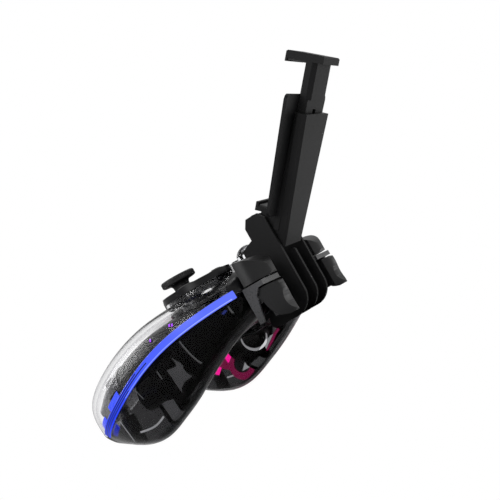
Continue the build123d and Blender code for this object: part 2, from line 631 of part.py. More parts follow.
def make_shoulder(nodes, side, hand):
    """The grey bezel in a shoulder pocket, with its bumper, its trigger and their pins."""
    inner_x = POCKET_INNER_X
    outer_x = POCKET_OUTER_X
    back = POCKET_BACK_Y
    hull = pad_body(WALL + 0.2, corners=INSIDE_CORNERS)
    bulkhead = hull & block((inner_x - FRAME_WALL, outer_x + FRAME_WALL), (back - FRAME_WALL, back), (-60, 10))
    bar_low = FRAME_BAR_TOP_Z - FRAME_BAR_THICK
    bar = block((inner_x + 0.4, outer_x - 0.3), (back, FRAME_FRONT_Y), (bar_low, FRAME_BAR_TOP_Z))
    leg = [(back, FRAME_BAR_TOP_Z), (FRAME_FRONT_Y - 1, FRAME_BAR_TOP_Z), (FRAME_LEG_FRONT_Y, bar_low - 3),
           (FRAME_LEG_FRONT_Y - 2.8, FRAME_LEG_FOOT_Z), (back, FRAME_LEG_FOOT_Z)]
    inner_leg = side_profile(leg, inner_x + 0.4, inner_x + 0.4 + FRAME_WALL)
    outer_leg = side_profile(leg, outer_x - 0.3 - FRAME_WALL, outer_x - 0.3)
    frame = bulkhead + bar + inner_leg + outer_leg

    pin_x = inner_x + 1.2
    pin = Pos(pin_x, TRIGGER_PIN_Y, TRIGGER_PIN_Z) * rod(TRIGGER_PIN_R, outer_x - 0.8 - pin_x, "X")
    post_x = inner_x + 4.0
    post_y = -10.5
    post = Pos(post_x, post_y, bar_low + 0.6) * rod(BUMPER_PIN_R, 9.0)
    frame = frame - pin - post

    low = inner_x + 0.4 + FRAME_WALL + TRIGGER_GAP
    high = outer_x - 0.3 - FRAME_WALL - TRIGGER_GAP
    tip = TRIGGER_TIP_Z
    shape = [(-11.0, -15.4), (-3.5, -15.3), (-0.2, -16.2), (0.5, -18.0), (-0.2, -21.6), (-0.7, -25.4),
             (-0.2, -28.8), (0.8, tip + 0.9), (0.3, tip), (-1.4, tip), (-4.6, tip + 1.6), (-6.8, -27.6),
             (-8.3, -23.5), (-9.0, -19.5)]
    lever = side_profile(shape, low, high)
    lever = lever + Pos(low, TRIGGER_PIN_Y, TRIGGER_PIN_Z) * rod(TRIGGER_BARREL_R, high - low, "X")
    plan = Wire([Edge.make_spline([(low - 1, -3.4, 0), ((low + high) / 2, 0.8, 0), (high + 1, -6.6, 0)]),
                 Line((high + 1, -6.6, 0), (high + 1, -30, 0)).edge(),
                 Line((high + 1, -30, 0), (low - 1, -30, 0)).edge(),
                 Line((low - 1, -30, 0), (low - 1, -3.4, 0)).edge()])
    lever = lever & (Pos(0, 0, -50) * extrude(Face(plan), 50, dir=(0, 0, 1)))
    bore = Pos(low - 1, TRIGGER_PIN_Y, TRIGGER_PIN_Z) * rod(TRIGGER_PIN_R + RUN_GAP, high - low + 2, "X")
    lever = lever - bore

    bumper_back = back + BUMPER_BACK_GAP
    top = [(bumper_back, 1.0), (-10.0, 0.8), (-5.2, -0.7), (-2.6, -2.6), (-1.0, -6.0),
           (-1.2, BUMPER_BASE_Z + 1.0), (-2.0, BUMPER_BASE_Z), (bumper_back, BUMPER_BASE_Z)]
    near = inner_x + BUMPER_GAP
    far = outer_x - BUMPER_GAP
    bumper = side_profile(top, near, far)
    nose = Wire([Edge.make_spline([(near - 1, -4.0, 0), (near + 9, BUMPER_FRONT_Y + 0.3, 0),
                                   (far - 5, -4.0, 0), (far + 1, -10.6, 0)]),
                 Line((far + 1, -10.6, 0), (far + 1, -30, 0)).edge(),
                 Line((far + 1, -30, 0), (near - 1, -30, 0)).edge(),
                 Line((near - 1, -30, 0), (near - 1, -4.0, 0)).edge()])
    bumper = bumper & (Pos(0, 0, -20) * extrude(Face(nose), 40, dir=(0, 0, 1)))
    bumper = bumper - Pos(post_x, post_y, -20) * rod(BUMPER_PIN_R + RUN_GAP, 18.4)

    for name, shape in (("shoulder_frame", frame), ("trigger", lever), ("bumper", bumper),
                        ("trigger_pin", pin), ("bumper_pin", post)):
        nodes[f"{name}_{side}"] = shape if hand > 0 else mirrored(shape)


def make_bracket_base(nodes):
    """The saddle that clips over the front edge, and its three ribs."""
    near_skin = pad_body(-SADDLE_GAP)
    wide_skin = pad_body(-SADDLE_GAP - SADDLE_WALL)
    wide = RIB_OUTER_X
    front_space = block((-wide, wide), (SADDLE_TAIL_Y, 10), (-60, -12))
    top_space = block((-wide, wide), (SADDLE_TOP_Y, 10), (-12, 20))
    saddle = (wide_skin & (front_space + top_space)) - near_skin
    window = block((-HOME_R - 3, HOME_R + 3), (-40, -13.5), (-4, 20))
    saddle = saddle - window

    foot_y = RIB_FRONT_Y - RIB_FOOT_R
    foot_z = RIB_FOOT_Z + RIB_FOOT_R
    corner = RIB_FOOT_R * math.sqrt(0.5)

    def rib(low_x, high_x, top):
        start = [(RIB_BACK_Y - 7.0, -9), (RIB_BACK_Y - 7.0, FINGER_TOP_Z - 2.6), (RIB_BACK_Y, FINGER_TOP_Z)] if top else []
        crown = [(RIB_BACK_Y, PIVOT_Z + 1.2), (RIB_BACK_Y + 2.6, PIVOT_Z + RIB_TOP_R), (RIB_FRONT_Y - 3.0, PIVOT_Z + RIB_TOP_R),
                 (RIB_FRONT_Y, PIVOT_Z + 1.6)] if top else [(RIB_TAIL_Y, -9), (RIB_BACK_Y, MID_RIB_TOP_Z), (RIB_FRONT_Y - 1.0, MID_RIB_TOP_Z),
                                                           (RIB_FRONT_Y, MID_RIB_TOP_Z - 1.0)]
        points = start + crown + [(RIB_FRONT_Y, foot_z)]
        edges = [Line((low_x, *a), (low_x, *b)).edge() for a, b in zip(points, points[1:])]
        edges.append(Edge.make_three_point_arc((low_x, RIB_FRONT_Y, foot_z), (low_x, foot_y + corner, foot_z - corner),
                                               (low_x, foot_y, RIB_FOOT_Z)))
        tail = [(foot_y, RIB_FOOT_Z), (RIB_TAIL_Y + 3, RIB_FOOT_Z), (RIB_TAIL_Y, RIB_FOOT_Z + 2.5), points[0]]
        edges += [Line((low_x, *a), (low_x, *b)).edge() for a, b in zip(tail, tail[1:])]
        return extrude(Face(Wire(edges)), high_x - low_x, dir=(1, 0, 0)) - near_skin

    base = saddle + rib(wide - RIB_THICK, wide, True) + rib(-wide, RIB_THICK - wide, True)
    base = base + rib(-RIB_THICK / 2, RIB_THICK / 2, False)
    pin_half = wide - RIB_THICK + HINGE_PIN_BLIND
    pin = Pos(-pin_half, PIVOT_Y, PIVOT_Z) * rod(HINGE_PIN_R, 2 * pin_half, "X")
    nodes["bracket_base"] = base - pin
    nodes["hinge_pin"] = pin


def holder_place():
    """From the holder's own frame to the face frame."""
    return Pos(0, PIVOT_Y, PIVOT_Z) * Rotation(-HOLDER_LEAN, 0, 0)


def tapered_plate(low_half, high_half, low_y, high_y, low_z, high_z):
    """A flat plate whose width grows along Z."""
    outline = Wire.make_polygon([(-low_half, low_y, low_z), (low_half, low_y, low_z),
                                 (high_half, low_y, high_z), (-high_half, low_y, high_z)])
    return extrude(Face(outline), high_y - low_y, dir=(0, 1, 0))


def bar_half(z):
    """Half the width of the bar at a height along it."""
    share = (z - BAR_FOOT_Z) / (BAR_TOP_Z - BAR_FOOT_Z)
    return BAR_FOOT_HALF + (BAR_TOP_HALF - BAR_FOOT_HALF) * share


def make_holder(nodes):
    """Lower half of the phone holder: plate, jaw, bar and knuckle."""
    place = holder_place()
    plate_front = SEAT_Y + RUBBER
    plate_back = plate_front + PLATE_THICK
    bar_front = BAR_BACK_Y - BAR_SIDE_DEPTH
    plate = tapered_plate(PLATE_FOOT_HALF, PLATE_TOP_HALF, plate_front, plate_back, LOWER_JAW_Z - JAW_THICK, PLATE_TOP_Z)
    plate = fillet(plate.edges().filter_by(Axis.Y), 3.0)
    neck = block((-NECK_HALF, NECK_HALF), (plate_back, bar_front), (0, BAR_TOP_Z))
    knuckle_half = RIB_OUTER_X - RIB_THICK - KNUCKLE_GAP
    knuckle = Pos(-knuckle_half, 0, 0) * rod(KNUCKLE_R, 2 * knuckle_half, "X")
    web = block((-BAR_FOOT_HALF, BAR_FOOT_HALF), (0, bar_front), (-KNUCKLE_R * 0.7, 8.0))
    jaw = block((-JAW_HALF, JAW_HALF), (SEAT_Y - JAW_REACH, plate_front), (LOWER_JAW_Z - JAW_THICK, LOWER_JAW_Z - RUBBER))
    lip = block((-JAW_HALF, JAW_HALF), (SEAT_Y - JAW_REACH, SEAT_Y - JAW_REACH + 1.4), (LOWER_JAW_Z - JAW_THICK, LOWER_JAW_Z + JAW_LIP))
    half = SLOT_HALF + 1.0 + SLIDE_GAP
    slot = block((-half, half), (plate_back - 0.01, BAR_BACK_Y - BAR_WALL), (SLOT_FOOT_Z, BAR_TOP_Z + 10))
    holder = plate + neck + knuckle + web + jaw + lip - slot
    holder = holder - Pos(-30, 0, 0) * rod(HINGE_PIN_R + RUN_GAP, 60, "X")
    nodes["holder_frame"] = place * holder

    cover = tapered_plate(BAR_FOOT_HALF, BAR_TOP_HALF, bar_front, BAR_BACK_Y, BAR_FOOT_Z, BAR_TOP_Z)
    cover = chamfer(cover.edges().filter_by(lambda e: abs(e.center().Y - BAR_BACK_Y) < 0.01 and e.length > 40), 1.2)
    nodes["holder_cover"] = place * (cover - slot)

    seat = tapered_plate(PLATE_FOOT_HALF - 3, PLATE_TOP_HALF - 3, SEAT_Y, plate_front, LOWER_JAW_Z + 1, PLATE_TOP_Z - 2)
    nodes["seat_pad"] = place * seat
    lower = block((-JAW_HALF + 1, JAW_HALF - 1), (SEAT_Y - JAW_REACH + 1.4, SEAT_Y), (LOWER_JAW_Z - RUBBER, LOWER_JAW_Z))
    nodes["lower_jaw_pad"] = place * lower

    coil = Pos(0, plate_back + 0.4 + SPRING_R, SPRING_FOOT_Z) * rod(SPRING_R, SPRING_TOP_Z - SPRING_FOOT_Z)
    hook = block((-SPRING_R, SPRING_R), (plate_back, plate_back + 0.4 + 2 * SPRING_R), (SLOT_FOOT_Z, SPRING_FOOT_Z))
    nodes["jaw_spring"] = place * (coil + hook)


def make_upper_jaw(nodes):
    """The sliding jaw that comes down on the phone's upper edge."""
    place = holder_place()
    front = SEAT_Y + RUBBER + PLATE_THICK + SLIDE_GAP
    under = LOWER_JAW_Z + OPENING
    half = SLOT_HALF + 1.0
    head_back = BAR_BACK_Y - BAR_WALL - SLIDE_GAP
    head = block((-half, half), (front, head_back), (SLIDER_HEAD_FOOT_Z, under + RUBBER + 0.2))
    head = chamfer(head.edges().filter_by(lambda e: abs(e.center().Y - head_back) < 0.01 and e.length > 10
                                          and abs(e.center().X) > 1), 2.2)
    stem = block((-half, half), (front, front + STEM_THICK + 1.4), (SLIDER_FOOT_Z, SLIDER_HEAD_FOOT_Z))
    jaw = block((-half, half), (SEAT_Y - JAW_REACH + 1.2, UPPER_JAW_BACK_Y), (under + RUBBER, under + UPPER_JAW_THICK))
    jaw = chamfer(jaw.edges().group_by(Axis.Z)[-1], 0.6)
    lip = block((-half, half), (SEAT_Y - JAW_REACH + 1.2, SEAT_Y - JAW_REACH + 2.2), (under - JAW_LIP + 0.6, under + RUBBER + 0.1))
    way = block((-SPRING_R - 0.5, SPRING_R + 0.5), (front - 1, front + 5.2), (SLIDER_FOOT_Z - 1, SPRING_SLOT_TOP_Z))
    slider = head + stem + jaw + lip - way
    nodes["upper_jaw"] = place * slider
    pad = block((-half + 1, half - 1), (SEAT_Y - JAW_REACH + 2.2, front), (under, under + RUBBER))
    nodes["upper_jaw_pad"] = place * pad


def make_screws(nodes):
    """Screws driven up through posts of the back shell into posts of the front shell."""
    screws = []
    back = nodes["back_shell"]
    front = nodes["front_shell"]
    hull = pad_body(WALL / 2)
    for x, y, joint_z, seat_z in SCREWS:
        for hand in (1, -1):
            here = Pos(hand * x, y, 0)
            lower = (here * Pos(0, 0, -70) * rod(BOSS_R, 70 + joint_z)) & hull
            upper = (here * Pos(0, 0, joint_z) * rod(POST_R, 40)) & hull
            well = here * Pos(0, 0, -70) * rod(SCREW_HEAD_R + FIT_GAP, 70 + seat_z)
            hole = here * Pos(0, 0, seat_z - 1) * rod(SCREW_SHANK_R + CLOSE_GAP, SCREW_SHANK + 2)
            back = (back + lower) - well - hole
            front = (front + upper) - hole
            head = here * Pos(0, 0, seat_z - SCREW_HEAD_HEIGHT) * rod(SCREW_HEAD_R, SCREW_HEAD_HEIGHT)
            shank = here * Pos(0, 0, seat_z) * rod(SCREW_SHANK_R, SCREW_SHANK)
            screws.append(head + shank)
    nodes["back_shell"] = back
    nodes["front_shell"] = front
    nodes["screws"] = Compound(children=screws)


def lowest(points, pitch):
    """Lowest height of a cloud of points once the pad is tipped by pitch."""
    turn = math.radians(pitch)
    return min(p.Z * math.cos(turn) - p.Y * math.sin(turn) for p in points)


def table_pitch(nodes):
    """How far the pad tips until its grip ends and the bracket's ribs touch the table together."""
    fineness = 0.05
    grips = nodes["back_shell"].tessellate(fineness, 0.1)[0]
    ribs = nodes["bracket_base"].tessellate(fineness, 0.1)[0]
    low = 5.0
    high = 30.0
    for _ in range(24):
        middle = (low + high) / 2
        if lowest(grips, middle) < lowest(ribs, middle):
            low = middle
        else:
            high = middle
    return low


def build():
    """Every node in the face frame."""
    nodes = {}
    make_housing(nodes)
    make_board(nodes)
    make_buttons(nodes)
    make_dpad(nodes)
    make_stick(nodes, "right", STICK_RIGHT)
    make_stick(nodes, "left", STICK_LEFT)
    for side, hand in (("right", 1), ("left", -1)):
        make_motor(nodes, side, hand)
        make_shoulder(nodes, side, hand)
    make_cradles(nodes)
    make_bracket_base(nodes)
    make_holder(nodes)
    make_upper_jaw(nodes)
    make_screws(nodes)
    return nodes


def place_on_table(nodes):
    """Tip the face frame on to the table and put the origin under the middle."""
    pitch = table_pitch(nodes)
    turn = Rotation(-pitch, 0, 0)
    turned = {name: turn * shape for name, shape in nodes.items()}
    boxes = [shape.bounding_box() for shape in turned.values()]
    low_y = min(box.min.Y for box in boxes)
    high_y = max(box.max.Y for box in boxes)
    low_z = min(box.min.Z for box in boxes)
    shift = Pos(0, -(low_y + high_y) / 2, -low_z)
    print("pitch", round(pitch, 4), "shift", round(-(low_y + high_y) / 2, 4), round(-low_z, 4))
    return {name: shift * shape for name, shape in turned.items()}


def write(nodes):
    """One STEP file for each node."""
    os.makedirs("parts", exist_ok=True)
    for name, shape in nodes.items():
        export_step(shape, f"parts/{name}.step")


if __name__ == "__main__":
    write(place_on_table(build()))
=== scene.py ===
import json
import math

import bmesh
import bpy
import numpy as np
from mathutils import Matrix, Vector


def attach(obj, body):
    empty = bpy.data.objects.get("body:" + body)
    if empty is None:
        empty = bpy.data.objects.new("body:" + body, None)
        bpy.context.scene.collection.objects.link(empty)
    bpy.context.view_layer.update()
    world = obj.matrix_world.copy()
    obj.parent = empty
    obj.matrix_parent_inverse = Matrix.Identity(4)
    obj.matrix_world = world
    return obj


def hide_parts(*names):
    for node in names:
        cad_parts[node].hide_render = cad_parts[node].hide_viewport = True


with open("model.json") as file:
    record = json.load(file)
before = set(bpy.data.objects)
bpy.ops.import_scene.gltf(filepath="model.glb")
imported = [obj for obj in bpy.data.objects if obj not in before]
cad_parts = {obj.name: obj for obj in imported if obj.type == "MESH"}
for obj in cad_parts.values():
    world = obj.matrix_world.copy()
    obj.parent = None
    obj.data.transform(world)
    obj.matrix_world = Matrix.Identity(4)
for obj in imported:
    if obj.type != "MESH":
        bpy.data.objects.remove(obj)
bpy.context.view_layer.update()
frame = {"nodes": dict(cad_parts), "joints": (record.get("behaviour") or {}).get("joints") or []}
nodes = frame["nodes"]
joints = {j["name"]: j for j in frame["joints"]}
scene = bpy.context.scene
scene.view_settings.view_transform = "Standard"

# Face frame, in millimetres: X to the user's right, Y away from the user, Z out of the face.
# The row frame is the face frame tipped on to the table: the record's joints give the tip.
PIVOT = (0.0, -6.6, 13.2)
press_axis = Vector(joints["press_home"]["axis"])
PITCH = math.atan2(-press_axis.y, -press_axis.z)
TURN = Matrix.Rotation(-PITCH, 4, "X")
pivot_row = Vector(joints["holder_tilt"]["pos_m"])
SHIFT = pivot_row * 1000 - (TURN @ Vector(PIVOT))
TO_ROW = Matrix.Scale(0.001, 4) @ Matrix.Translation(SHIFT) @ TURN

# Housing stations, as in the part's source
# Each: inner point, outer point, rise, drop, lean in degrees, squareness of the face and of the belly
STATIONS = [
    ((0, -73.5, -12.5), (0, -13, -9), 15.2, 18.5, 0, 2.6, 2.8),
    ((16, -73.5, -13), (26, -12.5, -9.5), 14.0, 19, 0, 2.6, 2.8),
    ((27.5, -75.5, -15), (51, -13.5, -10.5), 12.2, 20, 2, 2.5, 2.6),
    ((33.5, -80.5, -18), (67, -26, -12.5), 13.0, 24, 6, 2.4, 2.3),
    ((36, -86, -21.5), (74, -46, -15.5), 15.0, 28.5, 11, 2.2, 2.1),
    ((38.5, -91, -26), (75.5, -67, -21), 16.3, 29, 17, 2.1, 2.05),
    ((41, -98, -31), (72.5, -87, -28.5), 16.5, 27.5, 23, 2.0, 2.0),
    ((44, -105.5, -36.5), (66, -103, -36.5), 14.5, 21, 30, 2.0, 2.0),
    ((47, -110.5, -41), (59, -110.2, -41), 9.0, 12, 36, 2.0, 2.0),
    ((49.8, -113, -42.6), (56.2, -112.9, -42.6), 4.6, 6.2, 38, 2.0, 2.0),
]
WALL = 2.2
LINER_INSET = 5.0
LINER_WALL = 1.4
LINER_REACH = 7
PARTING = [(12, -10.4), (-9.6, -11.6), (-31.6, -13.4), (-51.8, -16.5), (-69.6, -21.8), (-85.2, -28.2),
           (-99.3, -34.6), (-130, -49.5)]
STRIP_HEIGHT = 4.0
STRIP_DEPTH = 2.8
STRIP_INSIDE_X = 57.5
STRIP_FRONT_Y = -14.0
# Sticks: X, Y, radius of the collar and height of its lower step
STICKS = {"right": (20.0, -56.0, 12.6, 3.0), "left": (-46.0, -29.5, 11.5, 2.2)}
COLLAR_LIP_Z = 3.6
GIMBAL_Z = -7.0
CLUSTER = (44.7, -36.8)
CLUSTER_PITCH = 11.4
BUTTON_WAYS = {"a": (0, -1), "b": (1, 0), "x": (-1, 0), "y": (0, 1)}
BUTTONS = {name: (CLUSTER[0] + x * CLUSTER_PITCH, CLUSTER[1] + y * CLUSTER_PITCH)
           for name, (x, y) in BUTTON_WAYS.items()}
BUTTON_HOLE_R = 5.4
RIM_R = 18.0
RIM_WALL = 1.6
RIM_TOP_Z = 2.4
RIM_BASE_Z = -8.0
DPAD = (-20.0, -56.0)
DPAD_HOLE_R = 12.8
WELL_WALL = 1.3
WELL_TOP_Z = 1.2
WELL_FOOT_Z = -7.5
SMALL_SPOTS = [(-14, -38), (14, -38), (0, -49)]
SMALL_HOLE = (7.6, 4.2)
# Home button: X, Y and radius of its hole
HOME = (0, -24.5, 6.3)
DARK_REAR_Y = -86.0
GRIP_VIEW = [(-150, -60), (-150, -27), (-84, -26), (-67, -25.5), (-60.6, -21.4), (-52, -24), (-50.5, -60)]
# Pocket: its spans in X, Y and Z. Port: width, height and level, with its span in Y
POCKET = ((30.0, 53.5), (-14.6, 20.0), (-60.0, 6.0))
BULKHEAD = 1.6
BOARD_TOP_Z = -13.0
PORT = (9.6, 3.9, -11.35)
PORT_SPAN = (-80, -66.3)
SCREW = (54.0, -99.0)
SCREW_WELL_R = 2.6
SCREW_SHANK_R = 1.15
SCREW_JOINT_Z = -37.0
SCREW_SEAT_Z = -42.0

# Reach of cutters: past the whole pad, through the face, and over both grips in X, Y and Z
FAR = 100
HOLE_SPAN = (-12, 20)
ACROSS = (-150, 150)
BEHIND_Y = -150
UPRIGHT = (-100, 60)

# Sides of the larger round forms, and the angle from which their edges stay sharp
FINE = 128
SHARP = 40

# Looks of the light guides: bands as (low, high) beside the parting line, then front and rear Y
GUIDES = (("right", "blue"), ("left", "pink"))
SEAM_TOP = 0.05
SEAM_BED = 1.6
GROOVE_WIDTH = 0.5
GROOVES = ((-1.0, -80.0), (0.0, -64.0), (1.0, -72.0))
BRIGHT_EDGE = (-1.55, -1.2, -18.0, -84.0)
STRANDS = ((2.2, 5.4, -86.5, -98), (2.1, 5.2, -104, -113.5), (-4.8, -2.3, -100, -114))
STRAND_TOP = STRIP_DEPTH + 0.15
STRAND_BED = STRIP_DEPTH + 0.75
SPARK = [(-23.2, -16.6), (-24.8, -17.4)]

# Looks of the liner, as outlines in (Y, Z) seen from the side
PANEL = [(-50.2, -12), (-96, -25.5), (-96, -31), (-90, -29.5), (-84, -28), (-68.5, -25.5), (-68.5, -39.6),
         (-66.2, -40), (-66.0, -60), (-50.2, -60)]
STAR = [(-54.5, -21.2), (-52.7, -25.5), (-51.7, -26.9), (-49.9, -28.6), (-52.2, -29.5), (-52.6, -32.0),
        (-52.1, -35.2), (-56.4, -35.7), (-59.6, -37.7), (-62.5, -41.2), (-61.1, -37.0), (-59.9, -31.7),
        (-59.7, -27.1), (-54.8, -27.6), (-54.0, -26.0)]
# Rib lines: real thin ribs, drawn light as painted highlights
RIB_HIGHLIGHTS = [([(-46.4, -18.5), (-45.0, -32.0)], 0.3), ([(-79.3, -25.1), (-77.7, -33.5)], 0.16),
             ([(-63.4, -25.3), (-63.5, -29.6)], 0.2), ([(-22.4, -15.4), (-22.6, -19.2)], 0.15),
             ([(-22.9, -11.2), (-22.4, -14.4)], 0.15)]
SPECKS = ((-47.9, -9.9), (-46.4, -10.4), (-59.5, -11.6))
SPECK_HALF = (0.2, 0.6)
DECK_WINDOW = [(-63, 10), (-63, -52), (-35, -71), (35, -71), (63, -52), (63, 10)]

# Looks of the grip ends, as outlines in (Y, Z), courses in (X, Y, Z) and circles as (Y, Z, radius)
FOOT = [(-75.1, -39.5), (-68.6, -40.0), (-67.8, -48.4), (-74.1, -49.4)]
FOOT_REAR_WALL = [(-76.8, -39.7), (-75.2, -39.6), (-74.2, -52), (-75.9, -52)]
FOOT_FRONT_WALL = [(-68.2, -40.1), (-67.0, -39.7), (-66.2, -52), (-67.5, -52)]
FOOT_INNER_WALL = ((46, 48), (-76, -67), (-52, -39.2))
FOOT_SPAN = (47, 61)
FOOT_WALL_SPAN = (46, 61.6)
# Courses of painted highlight lines: along the screw boss's edge and along the inner belly
BOSS_HIGHLIGHT = [(57.9, -101.6, -37.5), (57.9, -99.4, -50)]
BELLY_HIGHLIGHT = [(56, -95.5, -46.6), (56, -90.5, -47.4), (56, -85.5, -47.2), (56, -80.5, -45.4)]
GLOW_RING = (-82.5, -45.1, 7.4)
GLOW_HOLE = (-81.6, -43.8, 4.9)
GLOW_DISC = (-81.6, -43.8, 4.8)
CUP = (-64.5, -33.7, 7.7)
CUP_HOLLOW = (-64.1, -32.4, 7.55)
CUP_FLOOR = (-64.5, -33.7, 6.9)
# Outline of the painted pink glow on the left grip's inner skin
PINK_GLOW_OUTLINE = [(-112, -36), (-93, -36), (-88, -42), (-80, -54), (-112, -54)]
STRIPE = [(-50.7, -36.0), (-54.0, -37.5), (-58.2, -40.7), (-63.1, -44.1)]

# Materials


def shader(name, settings):
    """A new material with its Principled shader, some of its inputs given."""
    material = bpy.data.materials.new(name)
    material.use_nodes = True
    body = material.node_tree.nodes["Principled BSDF"]
    for entry, value in settings.items():
        body.inputs[entry].default_value = value
    return material, material.node_tree, body


def add(tree, kind, **values):
    """A shader node with some of its inputs or settings given."""
    node = tree.nodes.new(kind)
    for key, value in values.items():
        if key in node.inputs:
            node.inputs[key].default_value = value
        else:
            setattr(node, key, value)
    return node


def scaled(tree, operation, factor):
    """A sum node with its second value given."""
    node = add(tree, "ShaderNodeMath", operation=operation)
    node.inputs[1].default_value = factor
    return node


def wire(tree, source, output, target, entry):
    """Joins an output of one shader node to an input of another."""
    tree.links.new(source.outputs[output], target.inputs[entry])


def ramp(tree, low, dark, high, light):
    """A ramp from one colour to another."""
    node = tree.nodes.new("ShaderNodeValToRGB")
    for element, place, colour in zip(node.color_ramp.elements, (low, high), (dark, light)):
        element.position = place
        element.color = (*colour, 1)
    return node


def clouds(tree, scale, detail):
    """Soft noise fixed to the piece."""
    place = tree.nodes.new("ShaderNodeTexCoord")
    noise = add(tree, "ShaderNodeTexNoise", Scale=scale, Detail=detail)
    wire(tree, place, "Object", noise, "Vector")
    return noise


def plastic(name, colour, roughness, grain=900.0, bump=0.02, vary=0.25, coat=0.0, specular=0.5, metallic=0.0):
    """Moulded plastic, rubber or metal: a fine grain in relief and gloss, and a slow drift in colour."""
    material, tree, body = shader(name, {"Metallic": metallic, "Coat Weight": coat, "Coat Roughness": 0.08,
                                         "Specular IOR Level": specular})
    drift = clouds(tree, 38.0, 3.0)
    fine = clouds(tree, grain, 4.0)
    dark = [c * (1 - vary) for c in colour]
    light = [min(1.0, c * (1 + vary)) for c in colour]
    tint = ramp(tree, 0.3, dark, 0.7, light)
    wire(tree, drift, "Fac", tint, "Fac")
    wire(tree, tint, "Color", body, "Base Color")
    gloss = tree.nodes.new("ShaderNodeMapRange")
    gloss.inputs["To Min"].default_value = max(0.02, roughness * 0.85)
    gloss.inputs["To Max"].default_value = min(1.0, roughness * 1.15)
    wire(tree, fine, "Fac", gloss, "Value")
    wire(tree, gloss, "Result", body, "Roughness")
    if bump > 0:
        relief = add(tree, "ShaderNodeBump", Strength=bump, Distance=0.0004)
        wire(tree, fine, "Fac", relief, "Height")
        wire(tree, relief, "Normal", body, "Normal")
    return material


def clear(name, colour, edge, roughness=0.03, ior=1.3):
    """Clear plastic that lets the lamps through, darker where it is looked at along the wall."""
    material, tree, body = shader(name, {"Transmission Weight": 1.0, "Roughness": roughness, "IOR": ior})
    facing = add(tree, "ShaderNodeLayerWeight", Blend=0.35)
    tint = ramp(tree, 0.25, colour, 0.85, edge)
    open_way = add(tree, "ShaderNodeBsdfTransparent", Color=(*colour, 1))
    path = tree.nodes.new("ShaderNodeLightPath")
    mix = tree.nodes.new("ShaderNodeMixShader")
    wire(tree, facing, "Facing", tint, "Fac")
    wire(tree, tint, "Color", body, "Base Color")
    wire(tree, path, "Is Shadow Ray", mix, "Fac")
    wire(tree, body, "BSDF", mix, 1)
    wire(tree, open_way, "BSDF", mix, 2)
    wire(tree, mix, "Shader", tree.nodes["Material Output"], "Surface")
    return material


# Where a lit piece is deepest and lightest in colour, in metres, and the share of its streaks
GUIDE_DEEP_Y = -0.09
GUIDE_LIGHT_Y = 0.0
STREAK_SHARE = 0.35


def lit(name, colour, strength, deep):
    """A lit piece, deeper in colour towards the grip's end, with faint streaks."""
    base = (*[0.3 * c for c in deep], 1)
    material, tree, body = shader(name, {"Base Color": base, "Roughness": 0.25, "Specular IOR Level": 0.15,
                                         "Emission Strength": strength})
    place = tree.nodes.new("ShaderNodeTexCoord")
    stretch = add(tree, "ShaderNodeMapping", Scale=(1.0, 0.12, 1.0))
    streak = add(tree, "ShaderNodeTexNoise", Scale=60.0, Detail=2.0)
    apart = tree.nodes.new("ShaderNodeSeparateXYZ")
    course = tree.nodes.new("ShaderNodeMapRange")
    course.inputs["From Min"].default_value = GUIDE_DEEP_Y
    course.inputs["From Max"].default_value = GUIDE_LIGHT_Y
    weak = scaled(tree, "MULTIPLY", STREAK_SHARE)
    both = scaled(tree, "MULTIPLY_ADD", 1 - STREAK_SHARE)
    tint = ramp(tree, 0.2, deep, 0.85, colour)
    wire(tree, place, "Object", stretch, "Vector")
    wire(tree, place, "Object", apart, "Vector")
    wire(tree, stretch, "Vector", streak, "Vector")
    wire(tree, streak, "Fac", weak, 0)
    wire(tree, apart, "Y", course, "Value")
    wire(tree, course, "Result", both, 0)
    wire(tree, weak, "Value", both, 2)
    wire(tree, both, "Value", tint, "Fac")
    wire(tree, tint, "Color", body, "Emission Color")
    return material


def painted_glow(name, colour, strength):
    """A piece whose colour carries a painted glow, standing in for light seen through it or for a highlight.
    """
    base = (*[0.4 * c for c in colour], 1)
    material, tree, body = shader(name, {"Base Color": base, "Roughness": 0.6, "Specular IOR Level": 0.1,
                                         "Emission Strength": strength})
    cloud = clouds(tree, 120.0, 2.0)
    tint = ramp(tree, 0.3, [0.8 * c for c in colour], 0.7, colour)
    wire(tree, cloud, "Fac", tint, "Fac")
    wire(tree, tint, "Color", body, "Emission Color")
    return material


